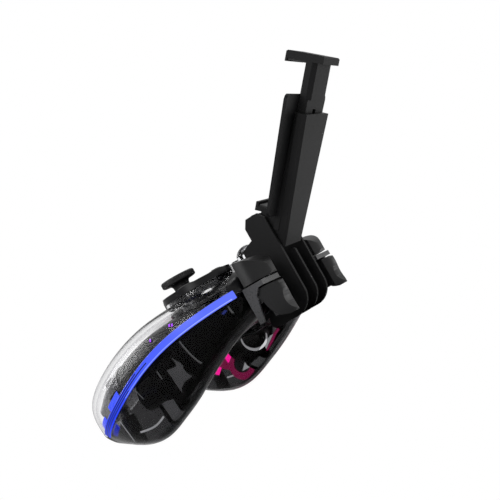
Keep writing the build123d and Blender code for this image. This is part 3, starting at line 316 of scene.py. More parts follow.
MAT = {
    "clear": clear("clear_front", (0.975, 0.975, 0.98), (0.38, 0.38, 0.40), 0.05, 1.18),
    "smoke": clear("clear_smoke", (0.15, 0.15, 0.154), (0.016, 0.016, 0.017), 0.06, 1.14),
    "skin": clear("inner_smoke", (0.40, 0.40, 0.41), (0.08, 0.08, 0.09), 0.06, 1.2),
    "dome": clear("clear_dome", (0.90, 0.91, 0.93), (0.5, 0.5, 0.52)),
    # fin, window and line are painted glows: light seen through the grips, and painted highlights, on parts
    # that are no lamps
    "fin": painted_glow("painted_glow_grey", (0.80, 0.80, 0.82), 0.33),
    "window": painted_glow("painted_glow_light", (0.90, 0.90, 0.92), 1.8),
    "deep": lit("guide_deep_blue", (0.012, 0.05, 0.85), 3.6, (0.01, 0.03, 0.7)),
    "edge": lit("guide_edge", (0.42, 0.47, 1.0), 0.95, (0.12, 0.20, 0.95)),
    "line": painted_glow("painted_highlight_grey", (0.80, 0.80, 0.82), 0.5),
    "can": plastic("motor_can", (0.013, 0.013, 0.011), 0.32, specular=0.3),
    # glow and hot are painted glows: pink light from the left guide falling on parts inside the grip, which
    # are no lamps
    "glow": lit("painted_pink_glow_dark", (0.36, 0.02, 0.11), 3.6, (0.22, 0.008, 0.06)),
    "hot": lit("painted_magenta_glow", (1.0, 0.02, 0.40), 5.6, (1.0, 0.01, 0.32)),
    "violet": lit("glow_violet", (0.35, 0.08, 0.9), 1.2, (0.35, 0.04, 0.8)),
    "liner": plastic("liner_black", (0.005, 0.005, 0.0052), 0.35, bump=0.01, specular=0.15),
    "blue": lit("guide_blue", (0.15, 0.21, 1.0), 0.8, (0.012, 0.045, 0.80)),
    "pink": lit("guide_pink", (1.0, 0.02, 0.35), 1.0, (0.6, 0.0, 0.2)),
    "board": plastic("board", (0.012, 0.014, 0.018), 0.35, coat=0.2),
    "steel": plastic("steel", (0.55, 0.55, 0.56), 0.28, metallic=1.0, bump=0.01, vary=0.08),
    "weight": plastic("weight_grey", (0.34, 0.34, 0.35), 0.6, bump=0.03, vary=0.08),
    "grey": plastic("switch_grey", (0.08, 0.08, 0.085), 0.5),
    "membrane": plastic("membrane", (0.16, 0.16, 0.17), 0.55),
    "cell": plastic("cell_wrap", (0.03, 0.035, 0.05), 0.3),
    "rubber": plastic("rubber_black", (0.008, 0.008, 0.0085), 0.5, grain=1500.0, bump=0.12, specular=0.25),
    "collar": plastic("gloss_grey", (0.007, 0.007, 0.0075), 0.3, bump=0.0, specular=0.18),
    "bezel": plastic("bezel_grey", (0.032, 0.032, 0.034), 0.28, bump=0.01, specular=0.4),
    "black": plastic("gloss_black", (0.008, 0.008, 0.0085), 0.32, bump=0.01, specular=0.2),
    "bracket": plastic("bracket_black", (0.0052, 0.0052, 0.0055), 0.55, grain=1300.0, bump=0.05,
                       specular=0.12),
}

# Mesh helpers


def new_object(name, mesh, finish, body, smooth_angle=35.0, soft=0.0):
    """A piece from a face-frame mesh in millimetres, moved into the row frame and put on its body."""
    mesh.transform(TO_ROW)
    piece = bpy.data.objects.new(name, mesh)
    scene.collection.objects.link(piece)
    mesh.materials.clear()
    mesh.materials.append(MAT[finish])
    for polygon in mesh.polygons:
        polygon.use_smooth = True
    mesh.set_sharp_from_angle(angle=math.radians(smooth_angle))
    if soft:
        soften(piece, soft)
    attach(piece, body)
    return piece


def soften(piece, width, limit=28.0):
    """Rounds the edges of a piece."""
    edge = piece.modifiers.new("soft_edges", "BEVEL")
    edge.width = width * 0.001
    edge.segments = 3
    edge.limit_method = "ANGLE"
    edge.angle_limit = math.radians(limit)


def mesh_of(points, faces):
    """A mesh from points and faces, its faces turned outwards."""
    mesh = bpy.data.meshes.new("part")
    mesh.from_pydata([tuple(p) for p in points], [], faces)
    form = bmesh.new()
    form.from_mesh(mesh)
    bmesh.ops.recalc_face_normals(form, faces=form.faces)
    form.to_mesh(mesh)
    form.free()
    return mesh


def rings_mesh(rings):
    """A skin over rings of equally many points, with a pole at each end."""
    count = len(rings[0])
    points = [p for ring in rings for p in ring]
    faces = []
    for i in range(len(rings) - 1):
        a = i * count
        b = a + count
        for k in range(count):
            n = (k + 1) % count
            faces.append((a + k, a + n, b + n, b + k))
    for start, ring in ((0, rings[0]), ((len(rings) - 1) * count, rings[-1])):
        points.append(np.mean(np.array(ring), axis=0))
        pole = len(points) - 1
        faces += [(start + k, start + (k + 1) % count, pole) for k in range(count)]
    return mesh_of(points, faces)


def prism(outline, low, high, axis="X"):
    """An outline extruded along X or Z. The outline gives the other two coordinates in order."""
    n = len(outline)
    points = [(t, a, b) if axis == "X" else (a, b, t) for t in (low, high) for a, b in outline]
    faces = [tuple(range(n)), tuple(range(2 * n - 1, n - 1, -1))]
    faces += [(k, (k + 1) % n, (k + 1) % n + n, k + n) for k in range(n)]
    return mesh_of(points, faces)


def cuboid(x, y, z):
    """A box from three (low, high) pairs."""
    return prism([(x[0], y[0]), (x[1], y[0]), (x[1], y[1]), (x[0], y[1])], z[0], z[1], "Z")


def circle(x, y, radius, count=72):
    """Points of a circle."""
    return [(x + radius * math.cos(2 * math.pi * k / count), y + radius * math.sin(2 * math.pi * k / count))
            for k in range(count)]


def post(x, y, radius, low, high, count=72):
    """An upright cylinder."""
    return prism(circle(x, y, radius, count), low, high, "Z")


def oval(x, y, length, width, low, high, count=20):
    """An upright post with round ends."""
    r = width / 2
    h = length / 2 - r
    turns = np.linspace(-math.pi / 2, math.pi / 2, count)
    points = [(x + h + r * math.cos(a), y + r * math.sin(a)) for a in turns]
    points += [(x - h - r * math.cos(a), y - r * math.sin(a)) for a in turns]
    return prism(points, low, high, "Z")


def turned(profile, count=96, at=(0, 0, 0)):
    """A closed body turned about Z from its (radius, height) outline, which starts and ends on the axis."""
    rings = []
    for radius, height in profile[1:-1]:
        rings.append([(x, y, at[2] + height) for x, y in circle(at[0], at[1], radius, count)])
    points = [p for ring in rings for p in ring]
    faces = []
    for i in range(len(rings) - 1):
        a = i * count
        b = a + count
        faces += [(a + k, a + (k + 1) % count, b + (k + 1) % count, b + k) for k in range(count)]
    for height, start in ((profile[0][1], 0), (profile[-1][1], (len(rings) - 1) * count)):
        points.append((at[0], at[1], at[2] + height))
        faces += [(start + k, start + (k + 1) % count, len(points) - 1) for k in range(count)]
    return mesh_of(points, faces)


def combine(base, tools):
    """Boolean operations on a mesh, one after the other: tools is a list of cut, keep and join."""
    holder = bpy.data.objects.new("work", base)
    scene.collection.objects.link(holder)
    helpers = []
    for operation, tool in tools:
        helper = bpy.data.objects.new("tool", tool)
        scene.collection.objects.link(helper)
        helpers.append(helper)
        step = holder.modifiers.new("step", "BOOLEAN")
        step.operation = operation
        step.solver = "MANIFOLD"
        step.object = helper
    result = bpy.data.meshes.new_from_object(holder.evaluated_get(bpy.context.evaluated_depsgraph_get()))
    for thing in [holder] + helpers:
        bpy.data.objects.remove(thing)
    return result


def cut(mesh):
    """Takes a mesh away, in a list for combine."""
    return "DIFFERENCE", mesh


def keep(mesh):
    """Leaves only what lies inside a mesh, in a list for combine."""
    return "INTERSECT", mesh


def join(mesh):
    """Adds a mesh, in a list for combine."""
    return "UNION", mesh


def mirror_mesh(mesh):
    """The same mesh on the user's left."""
    other = mesh.copy()
    other.transform(Matrix.Scale(-1, 4, (1, 0, 0)))
    other.flip_normals()
    return other


# Housing form


def half_outline(half_width, height, squareness):
    """Control points of one half of a section."""
    shoulder = height * (0.55 + 0.18 * (squareness - 2))
    spread = half_width * (0.60 + 0.12 * (squareness - 2))
    lift = height / ((10 * shoulder + 20 * height) / 32)
    side = [(half_width, 0), (half_width, shoulder * lift), (spread, height * lift)]
    return np.array(side + [(-x, z) for x, z in reversed(side)])


def bezier(control, steps):
    """Points of a quintic arch, evenly spread along it, without the last one."""
    t = np.linspace(0, 1, 400)[:, None]
    curve = sum(math.comb(5, k) * t ** k * (1 - t) ** (5 - k) * control[k] for k in range(6))
    along = np.concatenate([[0], np.cumsum(np.linalg.norm(np.diff(curve, axis=0), axis=1))])
    wanted = np.linspace(0, along[-1], steps + 1)[:-1]
    return np.stack([np.interp(wanted, along, curve[:, k]) for k in range(2)], axis=1)


def station_ring(station, inset, hand, steps):
    """One section of the housing as a closed ring of points."""
    inner, outer, rise, drop, lean, face_square, belly_square = station
    inner = np.array(inner, float)
    outer = np.array(outer, float)
    centre = (inner + outer) / 2
    across = (outer - inner) / np.linalg.norm(outer - inner)
    half_width = np.linalg.norm(outer - inner) / 2 - inset
    along = np.array([-across[1], across[0], 0])
    along /= np.linalg.norm(along)
    if along[1] > 0:
        along = -along
    upright = np.array([0, 0, 1]) - across * across[2]
    upright /= np.linalg.norm(upright)
    tilt = math.radians(lean)
    up = upright * math.cos(tilt) + along * math.sin(tilt)
    face = bezier(half_outline(half_width, rise - inset, face_square), steps)
    belly = -bezier(half_outline(half_width, drop - inset, belly_square), steps)
    flat = np.concatenate([face, belly])
    ring = centre + flat[:, :1] * across + flat[:, 1:] * up
    ring[:, 0] *= hand
    return ring


def natural_spline(knots, values, wanted):
    """Natural cubic spline through values at knots, sampled at wanted."""
    n = len(knots)
    h = np.diff(knots)
    system = np.zeros((n, n))
    right = np.zeros((n,) + values.shape[1:])
    system[0, 0] = system[-1, -1] = 1
    for i in range(1, n - 1):
        system[i, i - 1:i + 2] = h[i - 1], 2 * (h[i - 1] + h[i]), h[i]
        right[i] = 6 * ((values[i + 1] - values[i]) / h[i] - (values[i] - values[i - 1]) / h[i - 1])
    second = np.linalg.solve(system, right.reshape(n, -1)).reshape(right.shape)
    out = []
    for w in wanted:
        i = min(max(np.searchsorted(knots, w) - 1, 0), n - 2)
        a = (knots[i + 1] - w) / h[i]
        b = (w - knots[i]) / h[i]
        out.append(a * values[i] + b * values[i + 1]
                   + ((a ** 3 - a) * second[i] + (b ** 3 - b) * second[i + 1]) * h[i] ** 2 / 6)
    return np.array(out)


def pad_rings(inset, reach=len(STATIONS), steps=32, between=8):
    """Rings of the whole outer form, inset by a wall, from the tip of the left grip to the right one's."""
    room = 2.0
    kept = [s for s in STATIONS[:reach]
            if np.linalg.norm(np.subtract(s[1], s[0])) / 2 > inset + room and s[2] > inset + room]
    rings = [station_ring(s, inset, -1, steps) for s in kept[:0:-1]]
    rings += [station_ring(s, inset, 1, steps) for s in kept]
    rings = np.array(rings)
    gaps = np.sqrt(np.linalg.norm(np.diff(rings, axis=0), axis=2).mean(axis=1))
    knots = np.concatenate([[0], np.cumsum(gaps)])
    wanted = [np.linspace(a, b, between + 1)[:-1] for a, b in zip(knots, knots[1:])]
    return natural_spline(knots, rings, np.concatenate(wanted + [knots[-1:]]))


def rounded_tips(rings, length):
    """Adds shrinking rings past both ends, so that the grips end round."""
    out = list(rings)
    for end, before in ((0, 1), (-1, -2)):
        ring = rings[end]
        centre = ring.mean(axis=0)
        ahead = centre - rings[before].mean(axis=0)
        ahead /= np.linalg.norm(ahead)
        extra = []
        for turn in np.radians((25, 50, 70, 84)):
            extra.append(centre + (ring - centre) * math.cos(turn) + ahead * length * math.sin(turn))
        out = extra[::-1] + out if end == 0 else out + extra
    return out


def body_mesh(inset, reach=len(STATIONS), tip=0.0):
    """The housing's form as a closed mesh."""
    rings = pad_rings(inset, reach)
    return rings_mesh(rounded_tips(rings, tip) if tip else list(rings))


def smooth_parting(step=2.0):
    """The parting line with a round course, as (Y, Z)."""
    line = np.array(PARTING)[::-1]
    ys = np.arange(line[0, 0], line[-1, 0], step)
    zs = natural_spline(line[:, 0], line[:, 1:], ys)[:, 0]
    return list(zip(ys, zs))[::-1]


SPLIT = smooth_parting()


def above_parting(shift):
    """The space above the parting line."""
    line = [(y, z + shift) for y, z in SPLIT]
    return prism(line + [(line[-1][0], FAR), (line[0][0], FAR)], -FAR, FAR)


def strip_zone(low_z, high_z, front_y, rear_y=-200.0):
    """A band along the parting line on the outer side of the right grip."""
    line = [(y, z) for y, z in SPLIT if rear_y <= y <= front_y]
    band = [(y, z + high_z) for y, z in line] + [(y, z + low_z) for y, z in reversed(line)]
    return prism(band, STRIP_INSIDE_X, FAR)


def ribbon(course, half):
    """The outline of a narrow band along a course of (Y, Z) points."""
    line = np.array(course, float)
    ahead = np.gradient(line, axis=0)
    ahead /= np.linalg.norm(ahead, axis=1)[:, None]
    side = np.stack([-ahead[:, 1], ahead[:, 0]], axis=1) * half
    return [tuple(q) for q in line + side] + [tuple(q) for q in (line - side)[::-1]]


# Housing and what is seen through it


def both_grips(name, mesh, finish, smooth_angle=35.0, soft=0.0, first="right"):
    """A piece on the right side and its mirror image on the left one."""
    pair = [("right", mesh), ("left", mirror_mesh(mesh))]
    for side, form in pair if first == "right" else pair[::-1]:
        new_object(f"{name}_{side}", form, finish, "pad", smooth_angle, soft)


def face_cutters():
    """Cutters for every hole in the face."""
    holes = [post(x, y, radius + 0.05, *HOLE_SPAN) for x, y, radius, _ in STICKS.values()]
    holes.append(post(*DPAD, DPAD_HOLE_R, *HOLE_SPAN))
    holes += [post(*at, BUTTON_HOLE_R, *HOLE_SPAN, 48) for at in BUTTONS.values()]
    holes += [oval(x, y, *SMALL_HOLE, *HOLE_SPAN) for x, y in SMALL_SPOTS]
    holes.append(post(*HOME, *HOLE_SPAN, 48))
    return holes


def port_mouth():
    """The cutter of the charging port, lying along Y."""
    width, height, level = PORT
    mouth = oval(0, level, width, height, *PORT_SPAN)
    mouth.transform(Matrix(((1, 0, 0, 0), (0, 0, 1, 0), (0, 1, 0, 0), (0, 0, 0, 1))))
    mouth.flip_normals()
    return mouth


def build_housing(outer):
    """The two shells, with dark trim where the clear one meets the sticks and the button rim, and painted
    shade on the clear one round the shoulder pockets.
    """
    inner = body_mesh(WALL, tip=0.5)
    pocket = cuboid(*POCKET)
    strip = strip_zone(-STRIP_HEIGHT / 2, STRIP_HEIGHT / 2, STRIP_FRONT_Y)
    sides = [cut(m) for m in (pocket, mirror_mesh(pocket), strip, mirror_mesh(strip))]
    bore = post(*CLUSTER, RIM_R - RIM_WALL, RIM_BASE_Z - 1, RIM_TOP_Z + 1, FINE)
    ring = combine(post(*CLUSTER, RIM_R, RIM_BASE_Z, RIM_TOP_Z, FINE), [cut(bore), cut(inner)])
    well = combine(post(*DPAD, DPAD_HOLE_R + WELL_WALL, WELL_FOOT_Z, WELL_TOP_Z, 96), [cut(inner)])
    steps = [cut(inner), keep(above_parting(0)), join(ring), join(well)] + sides
    front = combine(outer, steps + [cut(m) for m in face_cutters() + [port_mouth()]])
    # Round the shoulder pockets the clear shell is made dark: painted shade of the gap at the bumpers and
    # triggers
    shoulder = cuboid((POCKET[0][0] - 3, 80), (-18.2, 30), (-60, 8))
    zones_of_trim_and_shade = [shoulder, mirror_mesh(shoulder), post(*CLUSTER, RIM_R + 0.2, -0.6, 8, FINE)]
    zones_of_trim_and_shade += [post(x, y, radius + 2.2, *HOLE_SPAN, FINE) for x, y, radius, _ in STICKS.values()]
    for k, zone in enumerate(zones_of_trim_and_shade):
        new_object(f"shell_shade_and_trim_{k}", combine(front, [keep(zone)]), "collar", "pad", SHARP)
    front = combine(front, [cut(zone) for zone in zones_of_trim_and_shade])
    screw_well = post(*SCREW, SCREW_WELL_R, -70, SCREW_SEAT_Z, 48)
    steps = [cut(inner), cut(above_parting(0))] + sides + [cut(mirror_mesh(screw_well)), cut(screw_well)]
    back = combine(outer, steps)
    piece = new_object("shell_front", front, "clear", "pad", SHARP)
    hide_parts("front_shell")
    piece = new_object("shell_back", back, "smoke", "pad", SHARP)
    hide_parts("back_shell")


def build_guides(outer):
    """The lit guides in the parting line, each with its dark seams and bright edge."""
    core = body_mesh(STRIP_DEPTH)
    seam_top = body_mesh(SEAM_TOP)
    seam_bed = body_mesh(SEAM_BED)
    half = STRIP_HEIGHT / 2 - 0.05
    zone = strip_zone(-half, half, STRIP_FRONT_Y - 0.1)
    grooves = [strip_zone(low, low + GROOVE_WIDTH, front_y) for low, front_y in GROOVES]
    rim = strip_zone(*BRIGHT_EDGE)
    for side, colour in GUIDES:
        if side == "left":
            zone = mirror_mesh(zone)
            rim = mirror_mesh(rim)
            grooves = [mirror_mesh(m) for m in grooves]
        guide = combine(zone, [keep(outer), cut(core)] + [cut(m) for m in grooves + [rim]])
        for k, groove in enumerate(grooves):
            seam = combine(groove, [keep(seam_top), cut(seam_bed)])
            new_object(f"guide_seam_{side}_{k}", seam, "liner", "pad")
        streak = combine(rim, [keep(outer), cut(core)])
        new_object(f"guide_edge_{side}", streak, "edge" if side == "right" else colour, "pad")
        piece = new_object(f"guide_{side}", guide, colour, "pad", SHARP)
        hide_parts(f"light_guide_{side}")


def build_strands():
    """Small lit patches under the skin, beside the guides and at their front ends."""
    near_skin = combine(body_mesh(STRAND_TOP, tip=0.5), [cut(body_mesh(STRAND_BED, tip=0.4))])
    for side, colour in GUIDES:
        for k, strand in enumerate(STRANDS):
            patch = strip_zone(*strand)
            if side == "left":
                patch = mirror_mesh(patch)
            patch = combine(patch, [keep(near_skin)])
            shade = "deep" if side == "right" and k == 2 else colour
            new_object(f"strand_{side}_{k}", patch, shade, "pad")
    spark = combine(prism(ribbon(SPARK, 0.5), 42, FAR), [keep(near_skin)])
    new_object("spark_left", mirror_mesh(spark), "pink", "pad")
    new_object("spark_right", spark, "blue", "pad")


def build_panels():
    """Dark panels behind the plastic of the grips, with the star-shaped window and a plate behind it whose
    painted glow stands in for the light seen through.
    """
    panel = combine(body_mesh(LINER_INSET - 0.3, tip=0.5), [
        cut(body_mesh(LINER_INSET + 0.8, tip=0.3)), keep(prism(PANEL, 52, FAR)), cut(prism(STAR, 40, FAR))])
    star_glow_plate = combine(body_mesh(LINER_INSET + 0.9, tip=0.3), [
        cut(body_mesh(LINER_INSET + 1.5, tip=0.3)), keep(prism(STAR, 55, FAR))])
    both_grips("star_painted_glow", star_glow_plate, "fin", SHARP, first="left")
    both_grips("grip_panel", panel, "liner", SHARP, first="left")


def build_lines():
    """Thin ribs whose lightness is a painted highlight, and small violet-glowing specks, on the liner."""
    over = combine(body_mesh(LINER_INSET - 0.9, tip=0.5), [cut(body_mesh(LINER_INSET - 0.3, tip=0.4))])
    for k, (course, half) in enumerate(RIB_HIGHLIGHTS):
        rib = combine(prism(ribbon(course, half), 54, FAR), [keep(over)])
        both_grips(f"rib_line_{k}", rib, "line", first="left")
    wide, tall = SPECK_HALF
    for k, (y, z) in enumerate(SPECKS):
        speck = [(y - wide, z - tall), (y + wide, z - tall), (y + wide, z + tall), (y - wide, z + tall)]
        speck = combine(prism(speck, 54, FAR), [keep(over)])
        new_object(f"speck_{k}", speck, "violet", "pad")


def build_liner():
    """The smoked skins in the grip ends, and the dark deck and tray behind the clear plastic."""
    near_y = POCKET[1][0] - BULKHEAD - 0.3
    grown = cuboid((POCKET[0][0] - BULKHEAD, POCKET[0][1] + BULKHEAD), (near_y, 20), POCKET[2])
    hollow = body_mesh(LINER_INSET + LINER_WALL, LINER_REACH)
    common = [cut(hollow), cut(grown), cut(mirror_mesh(grown))]
    window = prism(DECK_WINDOW, BOARD_TOP_Z - 0.3, 20, "Z")
    rear = prism(GRIP_VIEW, 20, FAR)
    ends = cuboid(ACROSS, (BEHIND_Y, DARK_REAR_Y), UPRIGHT)
    past_dark = cuboid(ACROSS, (BEHIND_Y, DARK_REAR_Y - 0.2), UPRIGHT)
    solid = body_mesh(LINER_INSET, LINER_REACH)
    deck = combine(solid, common + [keep(above_parting(0.2)), cut(window), cut(ends)])
    tray = combine(solid, common + [cut(above_parting(-0.2)), cut(rear), cut(mirror_mesh(rear)), cut(ends)])
    skin = combine(body_mesh(LINER_INSET - 0.3, tip=0.5), [
        cut(body_mesh(LINER_INSET + 0.5, tip=0.3)), keep(above_parting(0.3)), keep(past_dark)])
    new_object("grip_skins", skin, "skin", "pad", SHARP)
    piece = new_object("liner_deck", deck, "liner", "pad", SHARP)
    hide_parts("inner_deck")
    piece = new_object("liner_tray", tray, "liner", "pad", SHARP)
    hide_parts("inner_tray")


def tube(points, radius, sides=10):
    """A round bar along a smooth course through points, in the face frame."""
    points = np.array(points, float)
    knots = np.concatenate([[0], np.cumsum(np.linalg.norm(np.diff(points, axis=0), axis=1))])
    wanted = np.linspace(0, knots[-1], max(8, int(knots[-1] / 1.2)))
    course = natural_spline(knots, points, wanted)
    tangent = np.gradient(course, axis=0)
    tangent /= np.linalg.norm(tangent, axis=1)[:, None]
    side = np.cross(tangent, (0.3, 0.2, 1.0))
    side /= np.linalg.norm(side, axis=1)[:, None]
    other = np.cross(tangent, side)
    turns = np.linspace(0, 2 * math.pi, sides + 1)[:-1]
    rings = [[at + radius * (a * math.cos(t) + b * math.sin(t)) for t in turns]
             for at, a, b in zip(course, side, other)]
    return rings_mesh(rings)


def build_grip_ends(room):
    """The foot box, screw boss and two painted highlight lines, along the boss and along the inner belly,
    seen through the smoked back of each grip; the foot box has a painted glow.
    """
    # The foot box's pale colour is a painted glow, standing in for light seen through the grip
    both_grips("grip_foot", combine(prism(FOOT, *FOOT_SPAN), [room]), "fin", soft=0.2)
    walls = combine(prism(FOOT_REAR_WALL, *FOOT_WALL_SPAN), [
        join(prism(FOOT_FRONT_WALL, *FOOT_WALL_SPAN)), join(cuboid(*FOOT_INNER_WALL)), room])
    both_grips("grip_foot_walls", walls, "liner", soft=0.15)
    boss = combine(post(*SCREW, 3.5, -60, SCREW_JOINT_Z, 48), [
        cut(post(*SCREW, SCREW_WELL_R + 0.05, -62, SCREW_SEAT_Z, 48)),
        cut(post(*SCREW, SCREW_SHANK_R, -62, 0, 24)), room])
    both_grips("grip_boss", boss, "liner", soft=0.1)
    cap = combine(post(*SCREW, 2.6, SCREW_JOINT_Z + 0.02, -10, 48), [
        cut(post(*SCREW, SCREW_SHANK_R, -62, -32, 24)), room])
    both_grips("grip_post", cap, "skin")
    both_grips("boss_highlight_line", combine(tube(BOSS_HIGHLIGHT, 0.2), [room]), "window")
    both_grips("belly_highlight_line", combine(tube(BELLY_HIGHLIGHT, 0.5), [room]), "window")


def build_far_grip(room):
    """Painted light inside the left grip: the pink glow that the pink guide casts on the parts there, and
    pale painted highlights.
    """
    cup = combine(prism(circle(*CUP), 45.8, 47.4), [cut(prism(circle(*CUP_HOLLOW), 45, 48))])
    # The cup's rim shines as a painted highlight
    new_object("cup_rim", mirror_mesh(cup), "window", "pad", soft=0.1)
    cup_floor = prism(circle(*CUP_FLOOR), 46.4, 47.2)
    new_object("cup_floor", mirror_mesh(cup_floor), "liner", "pad")
    # The halo and the inner skin glow pink as painted light from the guide
    halo = combine(prism(circle(*GLOW_RING), -52.6, -52), [cut(prism(circle(*GLOW_HOLE), -53, -51)), room])
    new_object("far_halo", halo, "glow", "pad")
    pink_glow_skin = combine(body_mesh(WALL + 1.2, tip=0.3), [
        cut(body_mesh(WALL + 1.6, tip=0.3)), keep(prism(PINK_GLOW_OUTLINE, -FAR, -63))])
    new_object("far_pink_glow", pink_glow_skin, "glow", "pad")
    # far_plate and far_facet glow as painted light seen through the grip; the blocks and stripe as painted
    # pink glow
    plates = [
        ("far_plate", [(-78.3, -43.1), (-77.9, -47.3), (-82.9, -47.3)], 51, 0.4, "window", "switch_grey"),
        ("far_block_a", [(-89.4, -34.6), (-84.6, -32.4), (-83.2, -35.6), (-88.6, -39.4)], 52, 1, "hot",
         "guide_pink"),
        ("far_block_b", [(-99.4, -40.5), (-95.2, -36.6), (-93.2, -40.2), (-96.6, -43.0)], 50, 1, "hot",
         "guide_pink"),
        ("far_facet", [(-62.9, -39.4), (-56.7, -37.2), (-54.9, -37.1), (-63.0, -42.8)], 50, 0.4, "window",
         "switch_grey"),
        ("far_stripe", ribbon(STRIPE, 0.7), 50, 0.8, "glow", "guide_pink"),
        ("far_disc", circle(*GLOW_DISC), 52, 0.3, "grey", "liner_black"),
    ]
    for name, outline, x, thick, finish, slot_name in plates:
        new_object(name, combine(prism(outline, -x - thick, -x), [room]), finish, "pad")


def build_face_insides():
    """Dark guides and the plate under the face, which the clear front shows."""
    plate = cuboid((24.5, 62.5), (-57, -18.5), (-7.4, -6.6))
    holes = [cut(post(*at, 6.3, -9, -5, 40)) for at in BUTTONS.values()]
    for (x, y), at in zip(BUTTON_WAYS.values(), BUTTONS.values()):
        sleeve = combine(post(*at, 6.6, -8.6, -2.6, 48), [cut(post(*at, 6.1, -10, 0, 48))])
        new_object(f"button_sleeve_{x + 1}{y + 1}", sleeve, "liner", "pad")
    holes.append(cut(post(*STICKS["right"][:2], 13.4, -9, -5, 48)))
    plate = combine(plate, holes + [keep(body_mesh(LINER_INSET))])
    new_object("button_plate", plate, "liner", "pad", soft=0.2)


# Controls


def knurl(mesh, radius, low, high, teeth, depth, at=(0, 0, 0)):
    """Teeth round a rim: moves the points near that radius in and out."""
    for vertex in mesh.vertices:
        x = vertex.co.x - at[0]
        y = vertex.co.y - at[1]
        far = math.hypot(x, y)
        if far > radius - 0.25 and low < vertex.co.z < high:
            grow = 1 - depth * (0.5 + 0.5 * math.cos(teeth * math.atan2(y, x))) / far
            vertex.co.x = at[0] + x * grow
            vertex.co.y = at[1] + y * grow


def build_sticks():
    """Thumbsticks with a dished, knurled cap and a dome that closes the collar."""
    cap = [(0, 11.0), (3.4, 11.02), (5.4, 11.15), (6.6, 11.5), (7.3, 11.85), (7.9, 12.0), (8.5, 11.95),
           (9.0, 11.65), (9.2, 11.2), (9.2, 10.6), (9.2, 10.0), (9.2, 9.4), (9.0, 8.95), (8.4, 8.65),
           (7.0, 8.5), (5.6, 8.35), (4.8, 7.9), (4.4, 7.1), (4.3, 6.0), (4.3, 4.4), (4.4, 3.2), (4.8, 2.3),
           (5.3, 1.6)]
    ridge = [(0, 11.03), (4.9, 11.08), (5.25, 11.22), (5.6, 11.25), (5.9, 11.18), (5.9, 10.9), (0, 10.9)]

    def dome(radius, degrees):
        turns = [math.radians(a) for a in degrees]
        return [(radius * math.sin(t), GIMBAL_Z + radius * math.cos(t)) for t in turns]

    profile = cap + dome(9.5, range(36, 52, 3)) + dome(8.3, range(51, 20, -5)) + [(0, GIMBAL_Z + 8.3)]
    for side, (x, y, _, _) in STICKS.items():
        mesh = turned(profile, 216, (x, y, 0))
        knurl(mesh, 9.2, 9.2, 11.4, 54, 0.28, (x, y, 0))
        body = f"thumbstick_{side}"
        piece = new_object(f"stick_cap_{side}", mesh, "rubber", body, 50)
        shaft = post(x, y, 1.5, GIMBAL_Z - 1.8, 2.0, 32)
        new_object(f"stick_shaft_{side}", shaft, "grey", body, soft=0.2)
        new_object(f"stick_ridge_{side}", turned(ridge, 96, (x, y, 0)), "rubber", body)
        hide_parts(f"thumbstick_{side}")


def build_face_buttons():
    """Round buttons with a crowned top, each with its flange under the face."""
    crown = [(0, 3.30), (1.5, 3.27), (3.0, 3.14), (4.1, 2.92), (4.7, 2.62), (5.0, 2.2), (5.1, 1.6),
             (5.1, -6.3), (6.0, -6.3), (6.0, -7.6), (0, -7.6)]
    for name, (x, y) in BUTTONS.items():
        cap = turned(crown, 96, (x, y, 0))
        piece = new_object(f"cap_{name}", cap, "black", f"button_{name}")
        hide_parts(f"button_{name}")


def flowing(points, steps=6):
    """A smooth course through points."""
    line = np.array(points, float)
    knots = np.concatenate([[0], np.cumsum(np.linalg.norm(np.diff(line, axis=0), axis=1))])
    wanted = np.linspace(0, knots[-1], steps * (len(line) - 1) + 1)
    return [tuple(q) for q in natural_spline(knots, line, wanted)]


def build_shoulders():
    """Bumpers and triggers with flowing outlines and soft edges."""
    low, high = POCKET[0][0] + 2.6, POCKET[0][1] - 2.5
    face = flowing([(-0.2, -16.2), (0.4, -18.2), (-0.3, -21.8), (-0.8, -25.4), (-0.2, -28.9), (0.9, -31.2)])
    rear = flowing([(-4.6, -30.7), (-6.8, -27.6), (-8.3, -23.5), (-9.0, -19.5)])
    side = [(-11.0, -15.4), (-3.5, -15.3)] + face + [(0.4, -32.2), (-1.4, -32.2)] + rear
    plan = flowing([(low - 1, -3.4), ((low + high) / 2, 0.8), (high + 1, -6.6)], 16)
    plan += [(high + 1, -40), (low - 1, -40)]
    lever = combine(prism(side, low, high), [
        keep(prism(plan, -60, 10, "Z")),
        join(prism(circle(-11.0, -18.8, 3.0), low, high)),
        cut(prism(circle(-11.0, -18.8, 1.56, 40), low - 1, high + 1))])
    near, far = POCKET[0][0] + 0.6, POCKET[0][1] - 0.6
    back = POCKET[1][0] + 1.5
    crown = flowing([(-11.0, 0.5), (-7.6, -0.5), (-4.9, -2.0), (-2.6, -4.0), (-1.3, -6.6)])
    top = [(back, 0.8)] + crown + [(-1.1, -10.4), (-2.0, -11.5), (back, -11.5)]
    nose = [(near - 1, -4.0), (near + 9, -0.8), (far - 6.5, -3.2), (far - 1.4, -8.0), (far - 0.2, -13.4)]
    nose = flowing(nose, 10)
    nose += [(far - 0.2, -40), (near - 1, -40)]
    block = combine(prism(top, near, far), [
        keep(prism(nose, -60, 20, "Z")),
        cut(post(POCKET[0][0] + 4.0, -10.5, 1.26, -20, -1.6, 40))])
    for name, mesh in (("trigger", lever), ("bumper", block)):
        for side_name in ("left", "right"):
            form = mirror_mesh(mesh) if side_name == "left" else mesh.copy()
            body = f"{name}_{side_name}"
            piece = new_object(f"{name}_form_{side_name}", form, "black", body, 32, 0.6)
            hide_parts(f"{name}_{side_name}")


